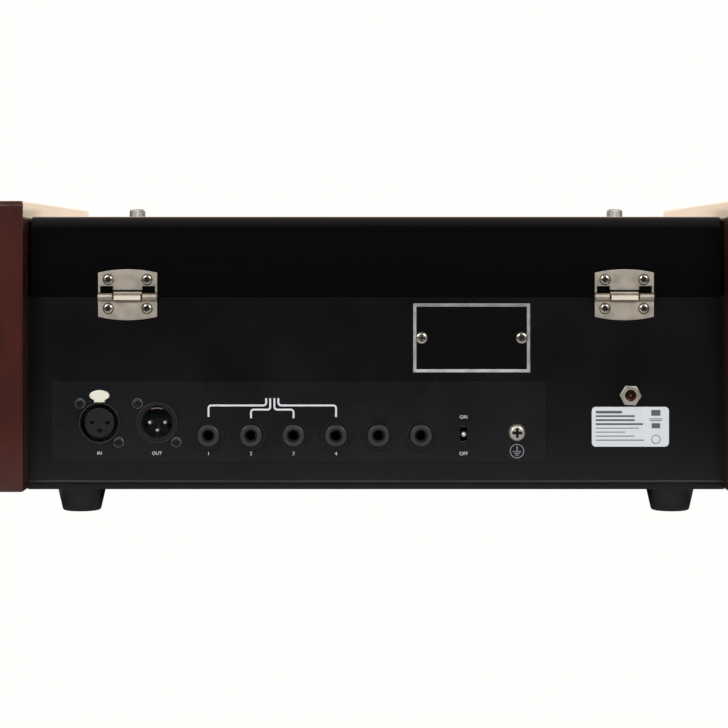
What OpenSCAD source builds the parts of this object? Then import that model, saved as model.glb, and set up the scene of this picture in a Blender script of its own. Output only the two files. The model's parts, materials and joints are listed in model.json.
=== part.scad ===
// Tape echo unit: a wooden-cheeked base with a hinged gloss lid, a tape deck, controls in front and sockets behind.
// X runs across the unit, Y from the rear (-) to the front (+), Z up from the table. Millimetres.

/* [Base] */
// Width of the base between the two cheeks
base_w = 410; // [406:1:430]
// Depth over the front and rear panels
base_d = 264; // [262:1:274]
// Height of the front and rear panels
panel_h = 109.2; // [106:0.1:116]
// Thickness of the front and rear panels
panel_t = 3; // [2.6:0.1:3.6]
// Bevel along the lower edge of the panels
panel_bevel = 1; // [0.5:0.1:1.5]
// Thickness of the tray floor
floor_t = 4; // [3:0.1:6]
// Thickness of the folded walls and of the deck
sheet_t = 2; // [1.5:0.1:2.5]
// Width of the ledge that carries the deck
ledge_w = 12; // [8:1:16]
// Depth of the deck below the seam of the lid
deck_drop = 5.7; // [5:0.1:7]

/* [Cheeks] */
// Thickness of a cheek
cheek_t = 20; // [16:0.5:26]
// Depth of a cheek
cheek_d = 300; // [298:1:320]
// Height of a cheek
cheek_h = 169.5; // [165:0.5:185]
// Radius of a cheek's corners
cheek_corner_r = 8; // [4:0.5:16]
// Rounding of a cheek's edges
cheek_edge_r = 2; // [0.5:0.1:3]

/* [Feet] */
// Height of a foot
foot_h = 14.5; // [10:0.5:20]
// Radius of a foot at its top
foot_top_r = 14.5; // [12:0.1:16]
// Radius of a foot where it stands
foot_tip_r = 11; // [9.5:0.1:12]
// Distance of a foot's centre from the side of the base
foot_inset_x = 29; // [26:1:50]
// Distance of a foot's centre from the front or rear panel
foot_inset_y = 24; // [20:1:40]
// Radius of the recess for a foot's screw
foot_recess_r = 5; // [4:0.1:6]
// Depth of the recess for a foot's screw
foot_recess_h = 9; // [6:0.5:9]

/* [Lid] */
// Height of the lid over its lower edge
lid_h = 47.1; // [44:0.1:56]
// Thickness of the lid
lid_wall = 3; // [2.5:0.1:3.5]
// Rounding of the lid's long upper edges
lid_edge_r = 7; // [5:0.1:9]
// Gap between the lid and each cheek
lid_side_gap = 1.7; // [0.5:0.1:2.5]
// Distance of a lid knob from the side of the lid
lid_knob_inset = 37.3; // [30:0.1:60]
// Distance of a lid knob from the front of the lid
lid_knob_setback = 22; // [18:1:40]
// Radius of a lid knob
lid_knob_r = 5.5; // [4.5:0.1:8]
// Height of a lid knob
lid_knob_h = 8.9; // [8:0.1:12]

/* [Hinges] */
// Distance of a hinge's centre from the side of the base
hinge_inset = 59; // [40:1:80]
// Width of a hinge
hinge_w = 34.7; // [30:0.1:40]
// Width of the middle knuckle
knuckle_mid_w = 17.2; // [14:0.1:18]
// Outer radius of a knuckle
knuckle_r = 2.1; // [1.9:0.05:2.2]
// Radius of a hinge pin
hinge_pin_r = 1; // [0.8:0.05:1.2]
// Thickness of a hinge leaf
leaf_t = 1.2; // [1:0.1:1.4]
// Distance of the hinge axis from the rear panel
hinge_out = 2.5; // [2.4:0.05:2.8]
// Height of the upper leaf over the hinge axis
upper_leaf_h = 16.2; // [15:0.1:18]
// Height of the lower leaf below the hinge axis
lower_leaf_h = 13.8; // [12:0.1:16]
// Height of the curve at a leaf's free edge
leaf_bow = 2; // [1:0.1:3]
// Height of the upper hinge screws over the axis
upper_screw_z = 10.2; // [9.5:0.1:11]
// Height of the lower hinge screws below the axis
lower_screw_z = 6.8; // [6:0.1:8]
// Distance of a hinge screw from the hinge's centre
hinge_screw_x = 11.4; // [9:0.1:13]
// Width of the windows over the outer knuckles
leaf_window_w = 7.5; // [5:0.1:8]
// Top of the windows over the hinge axis
leaf_window_top = 6.3; // [4:0.1:7]

/* [Screws] */
// Radius of a screw head
screw_head_r = 3; // [2.6:0.1:3.4]
// Height of a screw head
screw_head_h = 1.6; // [1.2:0.1:2]
// Radius of a screw's shank
screw_r = 1.4; // [1:0.1:1.6]
// Width of the slots in a cross head
cross_w = 0.8; // [0.5:0.1:1]

/* [Rear connections] */
// Width of the connection plate
plate_w = 291.2; // [288:0.1:296]
// Height of the connection plate
plate_h = 47.7; // [46:0.1:54]
// Thickness of the connection plate
plate_t = 2; // [1.8:0.1:2.4]
// Height of the connection plate's face over the rear panel
plate_proud = 0.3; // [0.1:0.1:0.6]
// Width of the lip behind the connection plate
plate_lip = 3; // [2:0.1:4]
// Distance of the connection plate from the side of the base
plate_inset = 13.8; // [12:0.1:18]
// Distance of the connection plate from the lower edge of the panel
plate_rise = 12.1; // [10:0.1:16]
// Distance of the first round socket from the plate's end
xlr_inset = 28.6; // [24:0.1:32]
// Distance between the two round sockets
xlr_pitch = 33.8; // [31:0.1:36]
// Height of the round sockets over the plate's lower edge
xlr_rise = 23.1; // [21:0.1:24]
// Radius of a round socket's outer ring
xlr_ring_r = 12.1; // [11.8:0.1:12.6]
// Radius of a round socket's mouth
xlr_mouth_r = 11.2; // [10.6:0.1:11.3]
// Radius of the insert with the contact holes
xlr_insert_r = 8.7; // [8.2:0.1:9]
// Distance of a contact from the middle of its socket
xlr_contact_r = 4.6; // [4.3:0.1:5]
// Radius of a contact pin
xlr_pin_r = 1.15; // [1:0.05:1.25]
// Radius of the hollow round the contact pins
xlr_hollow_r = 9.2; // [8.8:0.1:9.6]
// Side of the square flange behind the plate
xlr_flange = 29; // [28.5:0.1:30]
// Distance of a flange screw from the middle, across and up
xlr_screw_off = 11.4; // [11:0.1:11.6]
// Distance of the first jack from the plate's end
jack_inset = 92.7; // [90:0.1:96]
// Distance between two jacks
jack_pitch = 25; // [20:0.1:26]
// Number of jacks on the connection plate
jack_count = 6; // [4:1:6]
// Height of the jacks over the plate's lower edge
jack_rise = 15.7; // [14:0.1:22]
// Radius of a jack's bore
jack_bore_r = 3.2; // [3.2:0.05:3.3]
// Radius of a jack's threaded sleeve
jack_sleeve_r = 6.1; // [5.6:0.1:6.4]
// Width of a jack's nut across its flats
jack_nut_w = 16.6; // [15:0.1:18]
// Side of a jack's housing
jack_side = 17; // [15:0.1:18]
// Length of a jack's housing
jack_len = 24; // [22:0.5:28]
// Width of the strip of the front that carries its jacks
jack_panel_w = 39; // [37:0.5:41]
// Distance of the tape stop switch from the plate's end
stop_inset = 242.7; // [240:0.1:246]
// Travel of the tape stop lever each way
stop_travel = 3.2; // [2:0.1:3.4]
// Radius of the tape stop lever
stop_lever_r = 1.75; // [1.5:0.05:2]
// Distance of the earth screw from the plate's end
earth_inset = 274.1; // [272:0.1:278]
// Distance of the earth screw from the plate's other end
earth_end = 17.1; // [15:0.1:20]
// Radius of the earth screw's head
earth_head_r = 5.15; // [4.5:0.05:6]
// Distance of the supply socket from the middle of the space beside the plate
dc_inset = 2.9; // [0:0.1:8]
// Height of the supply socket over the lower edge of the panel
dc_rise = 51.4; // [50:0.1:60]
// Radius of the supply socket's mouth
dc_mouth_r = 3.4; // [3.2:0.1:3.6]

/* [Plates and label] */
// Width of the name plate
name_w = 68.7; // [64:0.1:76]
// Height of the name plate
name_h = 40.5; // [34:0.1:42]
// Distance of the name plate's centre from the middle of the unit
name_x = 56.25; // [40:0.05:70]
// Distance of the name plate's centre below the seam
name_drop = 24.05; // [22:0.05:26]
// Thickness of the name plate
name_t = 1; // [0.8:0.1:1.5]
// Width of the raised frame round the name plate
name_frame = 2; // [1:0.1:3]
// Width of the rating label
label_w = 45.4; // [36:0.1:48]
// Height of the rating label
label_h = 23.4; // [18:0.1:26]
// Distance of the rating label's centre from the lower edge of the panel
label_rise = 32.9; // [30:0.1:34]

/* [Controls] */
// Radius of a knob's skirt
knob_skirt_r = 12; // [10:0.1:14]
// Radius of a knob's grip
knob_grip_r = 9.2; // [9:0.1:10]
// Height of a knob over the front panel
knob_h = 16; // [14:0.1:16.5]
// Radius of a control shaft
shaft_r = 3; // [2.5:0.1:3.2]
// Radius of the mode selector's skirt
mode_skirt_r = 19; // [16:0.1:22]
// Distance between two knobs across
knob_pitch = 40; // [34:0.5:44]
// Height of the upper row of controls over the panel's lower edge
upper_row = 79; // [76:0.5:88]
// Height of the lower row of controls over the panel's lower edge
lower_row = 31; // [24:0.5:36]
// Width of the level meter's frame
meter_w = 72; // [68:0.5:76]
// Height of the level meter's frame
meter_h = 54; // [50:0.5:58]
// Distance of the meter from the column of front jacks
meter_x = 88; // [84:0.5:94]
// Length of the meter's needle
needle_len = 27; // [24:0.1:28]
// Angle through which the needle swings
needle_sweep = 90; // [70:1:96]
// Angle through which the power lever swings
lever_throw = 24; // [16:1:24]

/* [Tape deck] */
// Width of the tape
tape_w = 6.35; // [6.35:0.05:6.35]
// Thickness of the tape as modelled
tape_t = 0.3; // [0.2:0.05:0.4]
// Number of turns of the tape in the tank, an odd number
fold_count = 27; // [15:2:27]
// Distance of the tape's front run behind the front panel
tape_y = 48; // [44:0.5:52]
// Place of the tape's left run
tape_left = -160; // [-164:1:-150]
// Place of the tape's right run
tape_right = 128; // [124:1:134]
// Radius of a tape guide
guide_r = 8; // [6:0.1:9]
// Thickness of the tank's floor
tank_floor = 4; // [3:0.1:5]
// Height of the tank over the deck
tank_h = 13; // [12:0.1:16]
// Thickness of the tank's wall
tank_wall = 3; // [2:0.1:4]
// Thickness of the tank's clear cover
cover_t = 3; // [2:0.1:4]
// Distance of the tank from the rear panel
tank_setback = 17; // [14:0.5:24]
// Depth of the tank from front to rear
tank_d = 114; // [90:1:118]
// Number of tape heads
head_count = 6; // [3:1:6]
// Distance between two heads
head_pitch = 28; // [24:0.5:30]
// Width of a head
head_w = 16; // [12:0.5:18]
// Place of the capstan across the deck
capstan_x = 85; // [80:0.5:90]
// Radius of the capstan
capstan_r = 4; // [3:0.1:5]
// Radius of the pinch roller
roller_r = 11; // [9:0.1:12]
// Length of the pinch arm
arm_len = 33; // [30:0.5:36]
// Angle through which the pinch arm opens
arm_throw = 15; // [8:1:15]
// Radius of the flywheel
flywheel_r = 28; // [22:0.5:29]
// Radius of the motor's pulley
pulley_r = 8; // [6:0.1:10]
// Radius of the motor
motor_r = 21; // [18:0.5:24]
// Distance of the motor from the capstan, across
motor_dx = 58; // [54:0.5:62]

/* [Clearances] */
// Gap between pieces that move past each other
gap = 0.3; // [0.3:0.05:0.4]
// Running clearance between a shaft and its bore
run = 0.05; // [0.02:0.01:0.09]
// Gap round a piece that is fixed in a hole
fit = 0.15; // [0.1:0.01:0.25]

/* [Hidden] */
$fn = 48;
panel_bottom = foot_h + floor_t;
seam_z = panel_bottom + panel_h;
rear_y = -base_d / 2;
front_y = base_d / 2;
inner_y = base_d / 2 - panel_t;
deck_z = seam_z - deck_drop;
lid_z = seam_z + gap;
lid_top = lid_z + lid_h;
lid_w = base_w - 2 * lid_side_gap;
lid_knob_x = lid_w / 2 - lid_knob_inset;
lid_knob_y = front_y - lid_knob_setback;

hinge_x = base_w / 2 - hinge_inset;
hinge_y = rear_y - hinge_out;
hinge_z = seam_z + gap / 2;
leaf_notch = knuckle_r + 0.4;
knuckle_side_w = (hinge_w - knuckle_mid_w) / 2;

plate_left = -base_w / 2 + plate_inset;
plate_right = plate_left + plate_w;
plate_spare = plate_w - earth_inset - earth_end;
plate_z = panel_bottom + plate_rise;
plate_cx = plate_left + plate_w / 2;
plate_cz = plate_z + plate_h / 2;
plate_front_y = rear_y - plate_proud;
plate_back_y = plate_front_y + plate_t;
xlr_in_x = plate_left + xlr_inset + plate_spare / 4;
xlr_out_x = xlr_in_x + xlr_pitch;
xlr_z = plate_z + xlr_rise;
xlr_ring_proud = 0.8;
xlr_flange_t = 2.5;
xlr_depth = 22;
xlr_groove = 11;
xlr_hole_r = xlr_pin_r + 0.1;
xlr_angles = [180, 270, 360];
latch_w = 11.8;
latch_h = 6.8;
latch_z = 15.9;
latch_neck_w = 7;
latch_travel = 2;
latch_proud = 1.3;
latch_deep = 4;
jack_z = plate_z + jack_rise;
jack_x0 = plate_left + jack_inset + 0.38 * plate_spare;
jack_nut_t = 1.8;
jack_sleeve_proud = 3;
jack_chamfer = 0.5;
stop_x = plate_left + stop_inset + plate_spare / 2;
stop_z = jack_z + 0.8;
stop_slot_w = 2 * (stop_lever_r + gap);
stop_slot_h = stop_slot_w + 2 * stop_travel;
earth_x = plate_left + earth_inset + 0.82 * plate_spare;
earth_z = jack_z + 1.7;
dc_x = (plate_right + base_w / 2) / 2 - dc_inset;
dc_z = panel_bottom + dc_rise;
dc_sleeve_r = dc_mouth_r + 1.4;
label_z = panel_bottom + label_rise;
label_t = 0.2;
name_z = seam_z - name_drop;
name_screw_x = name_w / 2 - 4.95;
name_screw_head_r = screw_head_r + 0.5;

control_z = [panel_bottom + lower_row, panel_bottom + upper_row];
mode_x = 0;
mode_z = panel_bottom + panel_h / 2;
side_column = 25;
front_jack_x = base_w / 2 - side_column;
jack_seam_x = base_w / 2 - jack_panel_w;
jack_lap = 9;
lap_screw_z = 12;
front_jack_pitch = 27;
deck_screw_end = 29;
power_x = -base_w / 2 + side_column;
control_x0 = power_x + 3 * knob_pitch;
meter_cx = front_jack_x - meter_x;
input_side = 18;
input_x = meter_cx + meter_w / 2 + input_side;
meter_z = panel_bottom + panel_h / 2;
meter_frame_t = 2;
meter_border = 6;
meter_back = 15;
meter_deep = 9;
needle_pivot_z = -(meter_h / 2 - 14);
needle_hub_r = 2.2;
needle_pin_r = 0.9;
lever_pivot = -1;
lever_ball_r = 3;
lever_len = 14.5;
lever_neck_r = 1.6;
lever_tip_r = 2.7;
lever_pin_r = 0.8;
lever_pin_w = 9;
pot_sleeve_r = 4.5;
pot_nut_r = 6.4;
pot_nut_t = 2;
pot_r = 8.5;
pot_len = 10;
pot_floor = 0.5;
shaft_behind = 7.5;
shaft_fit = 0.02;
knob_cap = 4;
knob_skirt_h = 3;
knob_line_w = 1;
mode_bar_w = 10;
power_sleeve_r = 6;
lamp_r = 5;

tank_left = tape_left - 12;
tank_right = tape_right + 12;
tank_w = tank_right - tank_left;
tank_rear = -inner_y + tank_setback;
tank_front = tank_rear + tank_d;
tank_post_r = 4;
tape_z = deck_z + tank_floor;
turn_r = guide_r + gap + tape_t / 2;
fold_pitch = (tape_right - tape_left) / fold_count;
fold_r = fold_pitch / 2;
tape_lap = 0.2;
fold_front = tank_front - tank_wall - 3;
fold_rear = tank_rear + tank_wall + 3;
tape_line = front_y - tape_y;
head_x0 = -115;
head_d = 20;
head_h = 12;
head_base_t = 2.5;
head_block_margin = 6;
head_block_x = head_x(0) - head_w / 2 - head_block_margin;
head_block_w = head_pitch * (head_count - 1) + head_w + 2 * head_block_margin;
head_face_y = tape_line - tape_t / 2 - gap;
capstan_y = head_face_y - capstan_r;
capstan_over = 9;
capstan_top = deck_z + tank_floor + tape_w + capstan_over;
bearing_r = 10;
bearing_len = 16;
flywheel_drop = 24;
flywheel_top = deck_z - flywheel_drop;
flywheel_t = 10;
roller_y = tape_line + tape_t / 2 + gap + roller_r;
roller_lift = 3.6;
roller_z = deck_z + roller_lift;
roller_h = 9.4;
arm_t = 3;
arm_z = roller_z + roller_h + gap;
arm_pin_r = 2;
arm_w = 8;
arm_end_r = 5;
arm_hub_r = 6.5;
arm_hub_drop = 4;
arm_clip_r = 3.5;
arm_clip_t = 0.8;
pivot_r = 3;
pivot_x = capstan_x + arm_len;
pivot_dy = 7;
pivot_y = roller_y + pivot_dy;
arm_angle = atan2(roller_y - pivot_y, capstan_x - pivot_x);
motor_x = capstan_x + motor_dx;
motor_dy = 20;
motor_y = capstan_y - motor_dy;
motor_h = 60;
motor_shaft_r = 2;
belt_t = 1.2;
belt_w = 5;
pulley_flange_t = 1;
board_lift = 10;
board_z = panel_bottom + board_lift;
board_t = 1.6;
board_inset = 20;
board_w = 285;
board_x = [-base_w / 2 + board_inset, -base_w / 2 + board_inset + board_w];
board_setback = 36;
board_d = 86;
board_y = [rear_y + board_setback, rear_y + board_setback + board_d];
can_r = 6;
can_h = 16;
chip_w = 18;
chip_d = 7;
chip_h = 3.6;
line_w = 60;
line_d = 9;

function arc_radius(chord, rise) = (chord * chord / 4 + rise * rise) / (2 * rise);
function jack_x(i) = jack_x0 + jack_pitch * i;
function head_x(i) = head_x0 + head_pitch * i;
function knob_x(i) = control_x0 - knob_pitch * i;
function fold_x(k) = tape_left + fold_r + k * fold_pitch;

// ---- shared shapes ----

// Extrudes an outline drawn in Y and Z along X
module along_x(w) {
  translate([-w / 2, 0, 0]) rotate([90, 0, 90]) linear_extrude(w) children();
}

// Places a piece on a rear face: its Z points out of the rear, its Y up
module at_rear(x, z, y) {
  translate([x, y, z]) rotate([90, 0, 0]) children();
}

// Places a piece on a front face: its Z points out of the front, its Y up
module at_front(x, z, y) {
  translate([x, y, z]) rotate([90, 0, 180]) children();
}

// A rectangle with rounded corners, centred
module round_rect(w, h, r) {
  square([w - 2 * r, h], center = true);
  square([w, h - 2 * r], center = true);
  for (sx = [-1, 1], sy = [-1, 1]) translate([sx * (w / 2 - r), sy * (h / 2 - r)]) circle(r);
}

// A rectangle with half-round ends
module slot_shape(w, h) {
  r = min(w, h) / 2;
  square([w - (w > h ? 2 * r : 0), h - (h > w ? 2 * r : 0)], center = true);
  for (s = [-1, 1]) translate(w > h ? [s * (w / 2 - r), 0] : [0, s * (h / 2 - r)]) circle(r);
}

// A tube that stands on Z = 0
module tube(r_out, r_in, h) {
  difference() {
    cylinder(r = r_out, h = h);
    translate([0, 0, -1]) cylinder(r = r_in, h = h + 2);
  }
}

// A cross-head screw with a domed head; the head stands on the plane Z = 0 and the shank hangs below it
module cross_screw(len, head_r = screw_head_r, head_h = screw_head_h, r = screw_r) {
  dome_r = 1.35 * head_r;
  difference() {
    union() {
      intersection() {
        cylinder(r = head_r, h = head_h);
        translate([0, 0, head_h - dome_r]) sphere(dome_r, $fn = 64);
      }
      translate([0, 0, -len]) cylinder(r = r, h = len + head_h / 4);
    }
    for (a = [0, 90]) rotate([0, 0, a])
      translate([-0.6 * head_r, -cross_w / 2, head_h * 0.4]) cube([1.2 * head_r, cross_w, head_h]);
  }
}

// A jack socket; the plane Z = 0 is the back of the panel that it is clamped to
module jack_socket(wall) {
  difference() {
    union() {
      translate([-jack_side / 2, -jack_side / 2, -jack_len]) cube([jack_side, jack_side, jack_len]);
      cylinder(r = jack_sleeve_r, h = wall + jack_sleeve_proud);
    }
    translate([0, 0, -jack_len + 2]) cylinder(r = jack_bore_r, h = jack_len + wall + jack_sleeve_proud);
    translate([0, 0, wall + jack_sleeve_proud - jack_chamfer])
      cylinder(r1 = jack_bore_r, r2 = jack_bore_r + 2 * jack_chamfer, h = 2 * jack_chamfer);
  }
}

// Hexagon nut with a bevelled face and a clear hole
module jack_nut() {
  difference() {
    cylinder(d = jack_nut_w / cos(30), h = jack_nut_t, $fn = 6);
    translate([0, 0, -1]) cylinder(r = jack_sleeve_r + fit, h = jack_nut_t + 2);
  }
}

// ---- case ----

// A disc with a rounded upper edge
module rounded_disc(r, t, e) {
  rotate_extrude($fn = 32) union() {
    square([r - e, t]);
    translate([0, e]) square([r, t - 2 * e]);
    for (z = [e, t - e]) translate([r - e, z]) circle(e, $fn = 24);
  }
}

// The right cheek: a board with rounded corners and eased edges
module cheek() {
  y = cheek_d / 2 - cheek_corner_r;
  z = [foot_h + cheek_corner_r, foot_h + cheek_h - cheek_corner_r];
  translate([base_w / 2, 0, 0]) hull() for (sy = [-1, 1], cz = z)
    translate([0, sy * y, cz]) rotate([0, 90, 0]) rounded_disc(cheek_corner_r, cheek_t, cheek_edge_r);
}

module left_cheek() color([0.27, 0.14, 0.12]) mirror([1, 0, 0]) cheek();
module right_cheek() color([0.27, 0.14, 0.12]) cheek();

// Folded tray: floor, two side walls and the ledges that carry the deck
module base_tray() color([0.12, 0.12, 0.13]) {
  wall_d = 2 * inner_y;
  ledge_z = deck_z - sheet_t;
  difference() {
    union() {
      translate([-base_w / 2, -base_d / 2 + 1.5, foot_h]) cube([base_w, base_d - 3, floor_t]);
      for (s = [0, 1]) mirror([s, 0, 0]) {
        translate([base_w / 2 - sheet_t, -wall_d / 2, foot_h]) cube([sheet_t, wall_d, ledge_z - foot_h]);
        translate([base_w / 2 - ledge_w, -wall_d / 2, ledge_z - sheet_t]) cube([ledge_w, wall_d, sheet_t]);
      }
      for (x = [board_x[0] + 6, (board_x[0] + board_x[1]) / 2, board_x[1] - 6], y = [board_y[0] + 6, board_y[1] - 6])
        translate([x, y, panel_bottom - 1]) cylinder(r = 3.5, h = board_z - panel_bottom + 1);
    }
    foot_places() translate([0, 0, foot_h - 1]) cylinder(r = screw_r + fit, h = floor_t + 2);
    deck_screw_places() translate([0, 0, ledge_z - sheet_t - 1]) cylinder(r = screw_r + fit, h = sheet_t + 2);
  }
}

// The four places of the feet
module foot_places() {
  for (sx = [-1, 1], sy = [-1, 1])
    translate([sx * (base_w / 2 - foot_inset_x), sy * (base_d / 2 - foot_inset_y), 0]) children();
}

// The screws that hold the deck to the ledges
module deck_screw_places() {
  for (sx = [-1, 1], y = [-1, 0, 1]) translate([sx * (base_w / 2 - ledge_w / 2 - sheet_t / 2), y * (inner_y - deck_screw_end), 0])
    children();
}

module feet() color([0.16, 0.16, 0.16]) foot_places() difference() {
  cylinder(r1 = foot_tip_r, r2 = foot_top_r, h = foot_h);
  translate([0, 0, -1]) cylinder(r = foot_recess_r, h = foot_recess_h + 1);
  cylinder(r = screw_r + fit, h = foot_h + 1);
}

// The plain sheet of the rear panel, with the bevel along its lower edge
module panel_sheet() {
  along_x(base_w) polygon([
    [rear_y, panel_bottom + panel_bevel], [rear_y + panel_bevel, panel_bottom],
    [rear_y + panel_t, panel_bottom], [rear_y + panel_t, seam_z], [rear_y, seam_z]
  ]);
}

// Holes through the rear panel, in X and Z
module rear_holes() {
  translate([plate_cx, plate_cz]) square([plate_w - 2 * plate_lip, plate_h - 2 * plate_lip], center = true);
  translate([dc_x, dc_z]) circle(dc_sleeve_r + fit);
  for (s = [-1, 1]) {
    translate([name_x + s * name_screw_x, name_z]) circle(screw_r + fit);
    for (h = [-1, 1]) translate([h * hinge_x + s * hinge_screw_x, hinge_z - lower_screw_z]) circle(screw_r + fit);
  }
}

// Rear panel with the openings for the plate, the supply socket and the screws
module rear_panel() color([0.09, 0.09, 0.09]) difference() {
  panel_sheet();
  at_rear(0, 0, rear_y + panel_t + 1) linear_extrude(panel_t + 2) rear_holes();
  at_rear(plate_cx, plate_cz, plate_back_y) linear_extrude(panel_t) square([plate_w, plate_h], center = true);
}

// Holes through the front panel, in -X and Z
module front_holes() {
  for (c = control_places()) translate([-c[0], c[1]]) circle(pot_sleeve_r + fit);
  for (i = [-1:1]) translate([-front_jack_x, mode_z + i * front_jack_pitch]) circle(jack_sleeve_r + fit);
  translate([-meter_cx, meter_z]) square([meter_w - 2 * meter_border + 2 * fit, meter_h - 2 * meter_border + 2 * fit], center = true);
  translate([-power_x, control_z[0]]) circle(power_sleeve_r + fit);
  translate([-power_x, control_z[1]]) circle(lamp_r + fit);
  front_screw_places() circle(screw_r + fit);
  jack_lap_places() circle(screw_r + fit);
}

// The screws through the lap where the two parts of the front meet
module jack_lap_places() {
  for (z = [panel_bottom + lap_screw_z, deck_z - sheet_t - lap_screw_z])
    translate([-(jack_seam_x - jack_lap / 2), z]) children();
}

// The sheet of the front between two places in X
module front_sheet(x0, x1) {
  intersection() {
    mirror([0, 1, 0]) panel_sheet();
    translate([x0, 0, 0]) cube([x1 - x0, base_d, seam_z + 1]);
  }
}

// The screws of the front panel
module front_screw_places() {
  for (sx = [-1, 1], z = [panel_bottom + 12, seam_z - 12]) translate([sx * (base_w / 2 - 7), z]) children();
}

// Front panel with the openings for the controls
module front_panel() color([0.1, 0.1, 0.1]) difference() {
  front_sheet(-base_w / 2 - 1, jack_seam_x - gap / 2);
  at_front(0, 0, inner_y - 1) linear_extrude(panel_t + 2) front_holes();
}

// Strip of the front that carries its jacks, with a tongue behind the front panel's edge
module jack_panel() color([0.1, 0.1, 0.1]) difference() {
  x = jack_seam_x + gap / 2;
  z = panel_bottom + 4;
  h = deck_z - sheet_t - 2 - z;
  union() {
    front_sheet(x, base_w / 2 + 1);
    translate([jack_seam_x - jack_lap, inner_y - sheet_t, z]) cube([jack_lap + gap / 2 + 3, sheet_t, h]);
    translate([x, inner_y - sheet_t, z]) cube([3, sheet_t + 1, h]);
  }
  at_front(0, 0, inner_y - sheet_t - 1) linear_extrude(panel_t + sheet_t + 2) front_holes();
}

// Deck with its openings for the drive and the screws
module deck_plate() color([0.16, 0.16, 0.17]) difference() {
  union() {
    translate([-base_w / 2, -inner_y, deck_z - sheet_t]) cube([base_w, 2 * inner_y, sheet_t]);
    for (s = [0, 1]) mirror([s, 0, 0]) translate([base_w / 2 - sheet_t, -inner_y, deck_z - sheet_t])
      cube([sheet_t, 2 * inner_y, sheet_t + deck_drop]);
  }
  deck_screw_places() translate([0, 0, deck_z - sheet_t - 1]) cylinder(r = screw_r + fit, h = sheet_t + 2);
  head_screw_places() translate([0, 0, deck_z - sheet_t - 1]) cylinder(r = screw_r + fit, h = sheet_t + 2);
  translate([capstan_x, capstan_y, deck_z - sheet_t - 1]) cylinder(r = bearing_r - 2 + fit, h = sheet_t + 2);
}

// ---- lid and hinges ----

// Section of the lid in Y and Z, with its two upper corners rounded
module lid_outline(w, h, r) {
  square([w, h - r]);
  translate([r, 0]) square([w - 2 * r, h]);
  for (x = [r, w - r]) translate([x, h - r]) circle(r);
}

// The lid, a shell that is open below
module lid_shell() color([0.05, 0.05, 0.05]) difference() {
  along_x(lid_w) translate([rear_y, lid_z]) lid_outline(base_d, lid_h, lid_edge_r);
  along_x(lid_w - 2 * lid_wall) translate([rear_y + lid_wall, lid_z - lid_wall])
    lid_outline(base_d - 2 * lid_wall, lid_h, lid_edge_r - lid_wall);
  for (s = [-1, 1]) {
    translate([s * lid_knob_x, lid_knob_y, lid_top - lid_wall - 1]) cylinder(r = 2 + fit, h = lid_wall + 2);
    for (h = [-1, 1]) at_rear(h * hinge_x + s * hinge_screw_x, hinge_z + upper_screw_z, rear_y + lid_wall + 1)
      cylinder(r = screw_r + fit, h = lid_wall + 2);
  }
}

// Waisted lift knobs on the lid
module lid_knobs() color([0.7, 0.69, 0.66]) for (s = [-1, 1]) translate([s * lid_knob_x, lid_knob_y, lid_top])
  difference() {
    union() {
      cylinder(r = 0.64 * lid_knob_r, h = lid_knob_h / 2);
      translate([0, 0, 0.36 * lid_knob_h]) rounded_head(lid_knob_r, 0.64 * lid_knob_h, 0.8);
      translate([0, 0, -lid_wall - 5]) cylinder(r = 2, h = lid_wall + 5);
      translate([0, 0, -lid_wall - 3]) cylinder(r = 4, h = 3, $fn = 6);
    }
    for (a = [0:20:340]) rotate([0, 0, a]) translate([lid_knob_r + 0.15, 0, 0.5 * lid_knob_h])
      cylinder(r = 0.5, h = 0.32 * lid_knob_h, $fn = 4);
  }

// A disc with its upper and lower edges rounded, as an exact solid of revolution
module rounded_head(r, h, e) {
  rotate_extrude() {
    square([r - e, h]);
    translate([0, e]) square([r, h - 2 * e]);
    for (z = [e, h - e]) translate([r - e, z]) circle(e);
  }
}

// Outline of a leaf over the hinge axis, in X and Z, with a bowed free edge
module leaf_outline(h) {
  bow_r = arc_radius(hinge_w, leaf_bow);
  intersection() {
    translate([-hinge_w / 2, leaf_notch]) square([hinge_w, h]);
    translate([0, h - bow_r]) circle(bow_r, $fn = 128);
  }
}

// One knuckle of a hinge on the axis, from x0 for a width
module knuckle(x0, w) {
  translate([x0, 0, 0]) rotate([0, 90, 0]) tube(knuckle_r, hinge_pin_r + run, w);
}

// The two hinges, with the axis along X
module hinge_places() {
  for (s = [-1, 1]) translate([s * hinge_x, hinge_y, hinge_z]) children();
}

// Cuts the pin's bore out of a leaf's plate
module pin_cut() {
  rotate([0, 90, 0]) cylinder(r = hinge_pin_r + run, h = hinge_w + 2, center = true);
}

// Leaves on the base with the two outer knuckles
module hinge_base_leaves() color([0.66, 0.62, 0.57]) hinge_places() {
  side_x = [-hinge_w / 2, hinge_w / 2 - knuckle_side_w + 0.2];
  difference() {
    union() {
      translate([0, hinge_out, 0]) rotate([90, 0, 0]) linear_extrude(leaf_t) mirror([0, 1]) difference() {
        leaf_outline(lower_leaf_h);
        for (s = [-1, 1]) translate([s * hinge_screw_x, lower_screw_z]) circle(screw_r + fit);
      }
      for (x = side_x) {
        translate([x, hinge_out - leaf_t, -leaf_notch - 0.1]) cube([knuckle_side_w - 0.2, leaf_t, leaf_notch + 0.1]);
        translate([x, 0, 0]) rotate([0, 90, 0]) cylinder(r = knuckle_r, h = knuckle_side_w - 0.2);
      }
    }
    pin_cut();
  }
}

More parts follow.
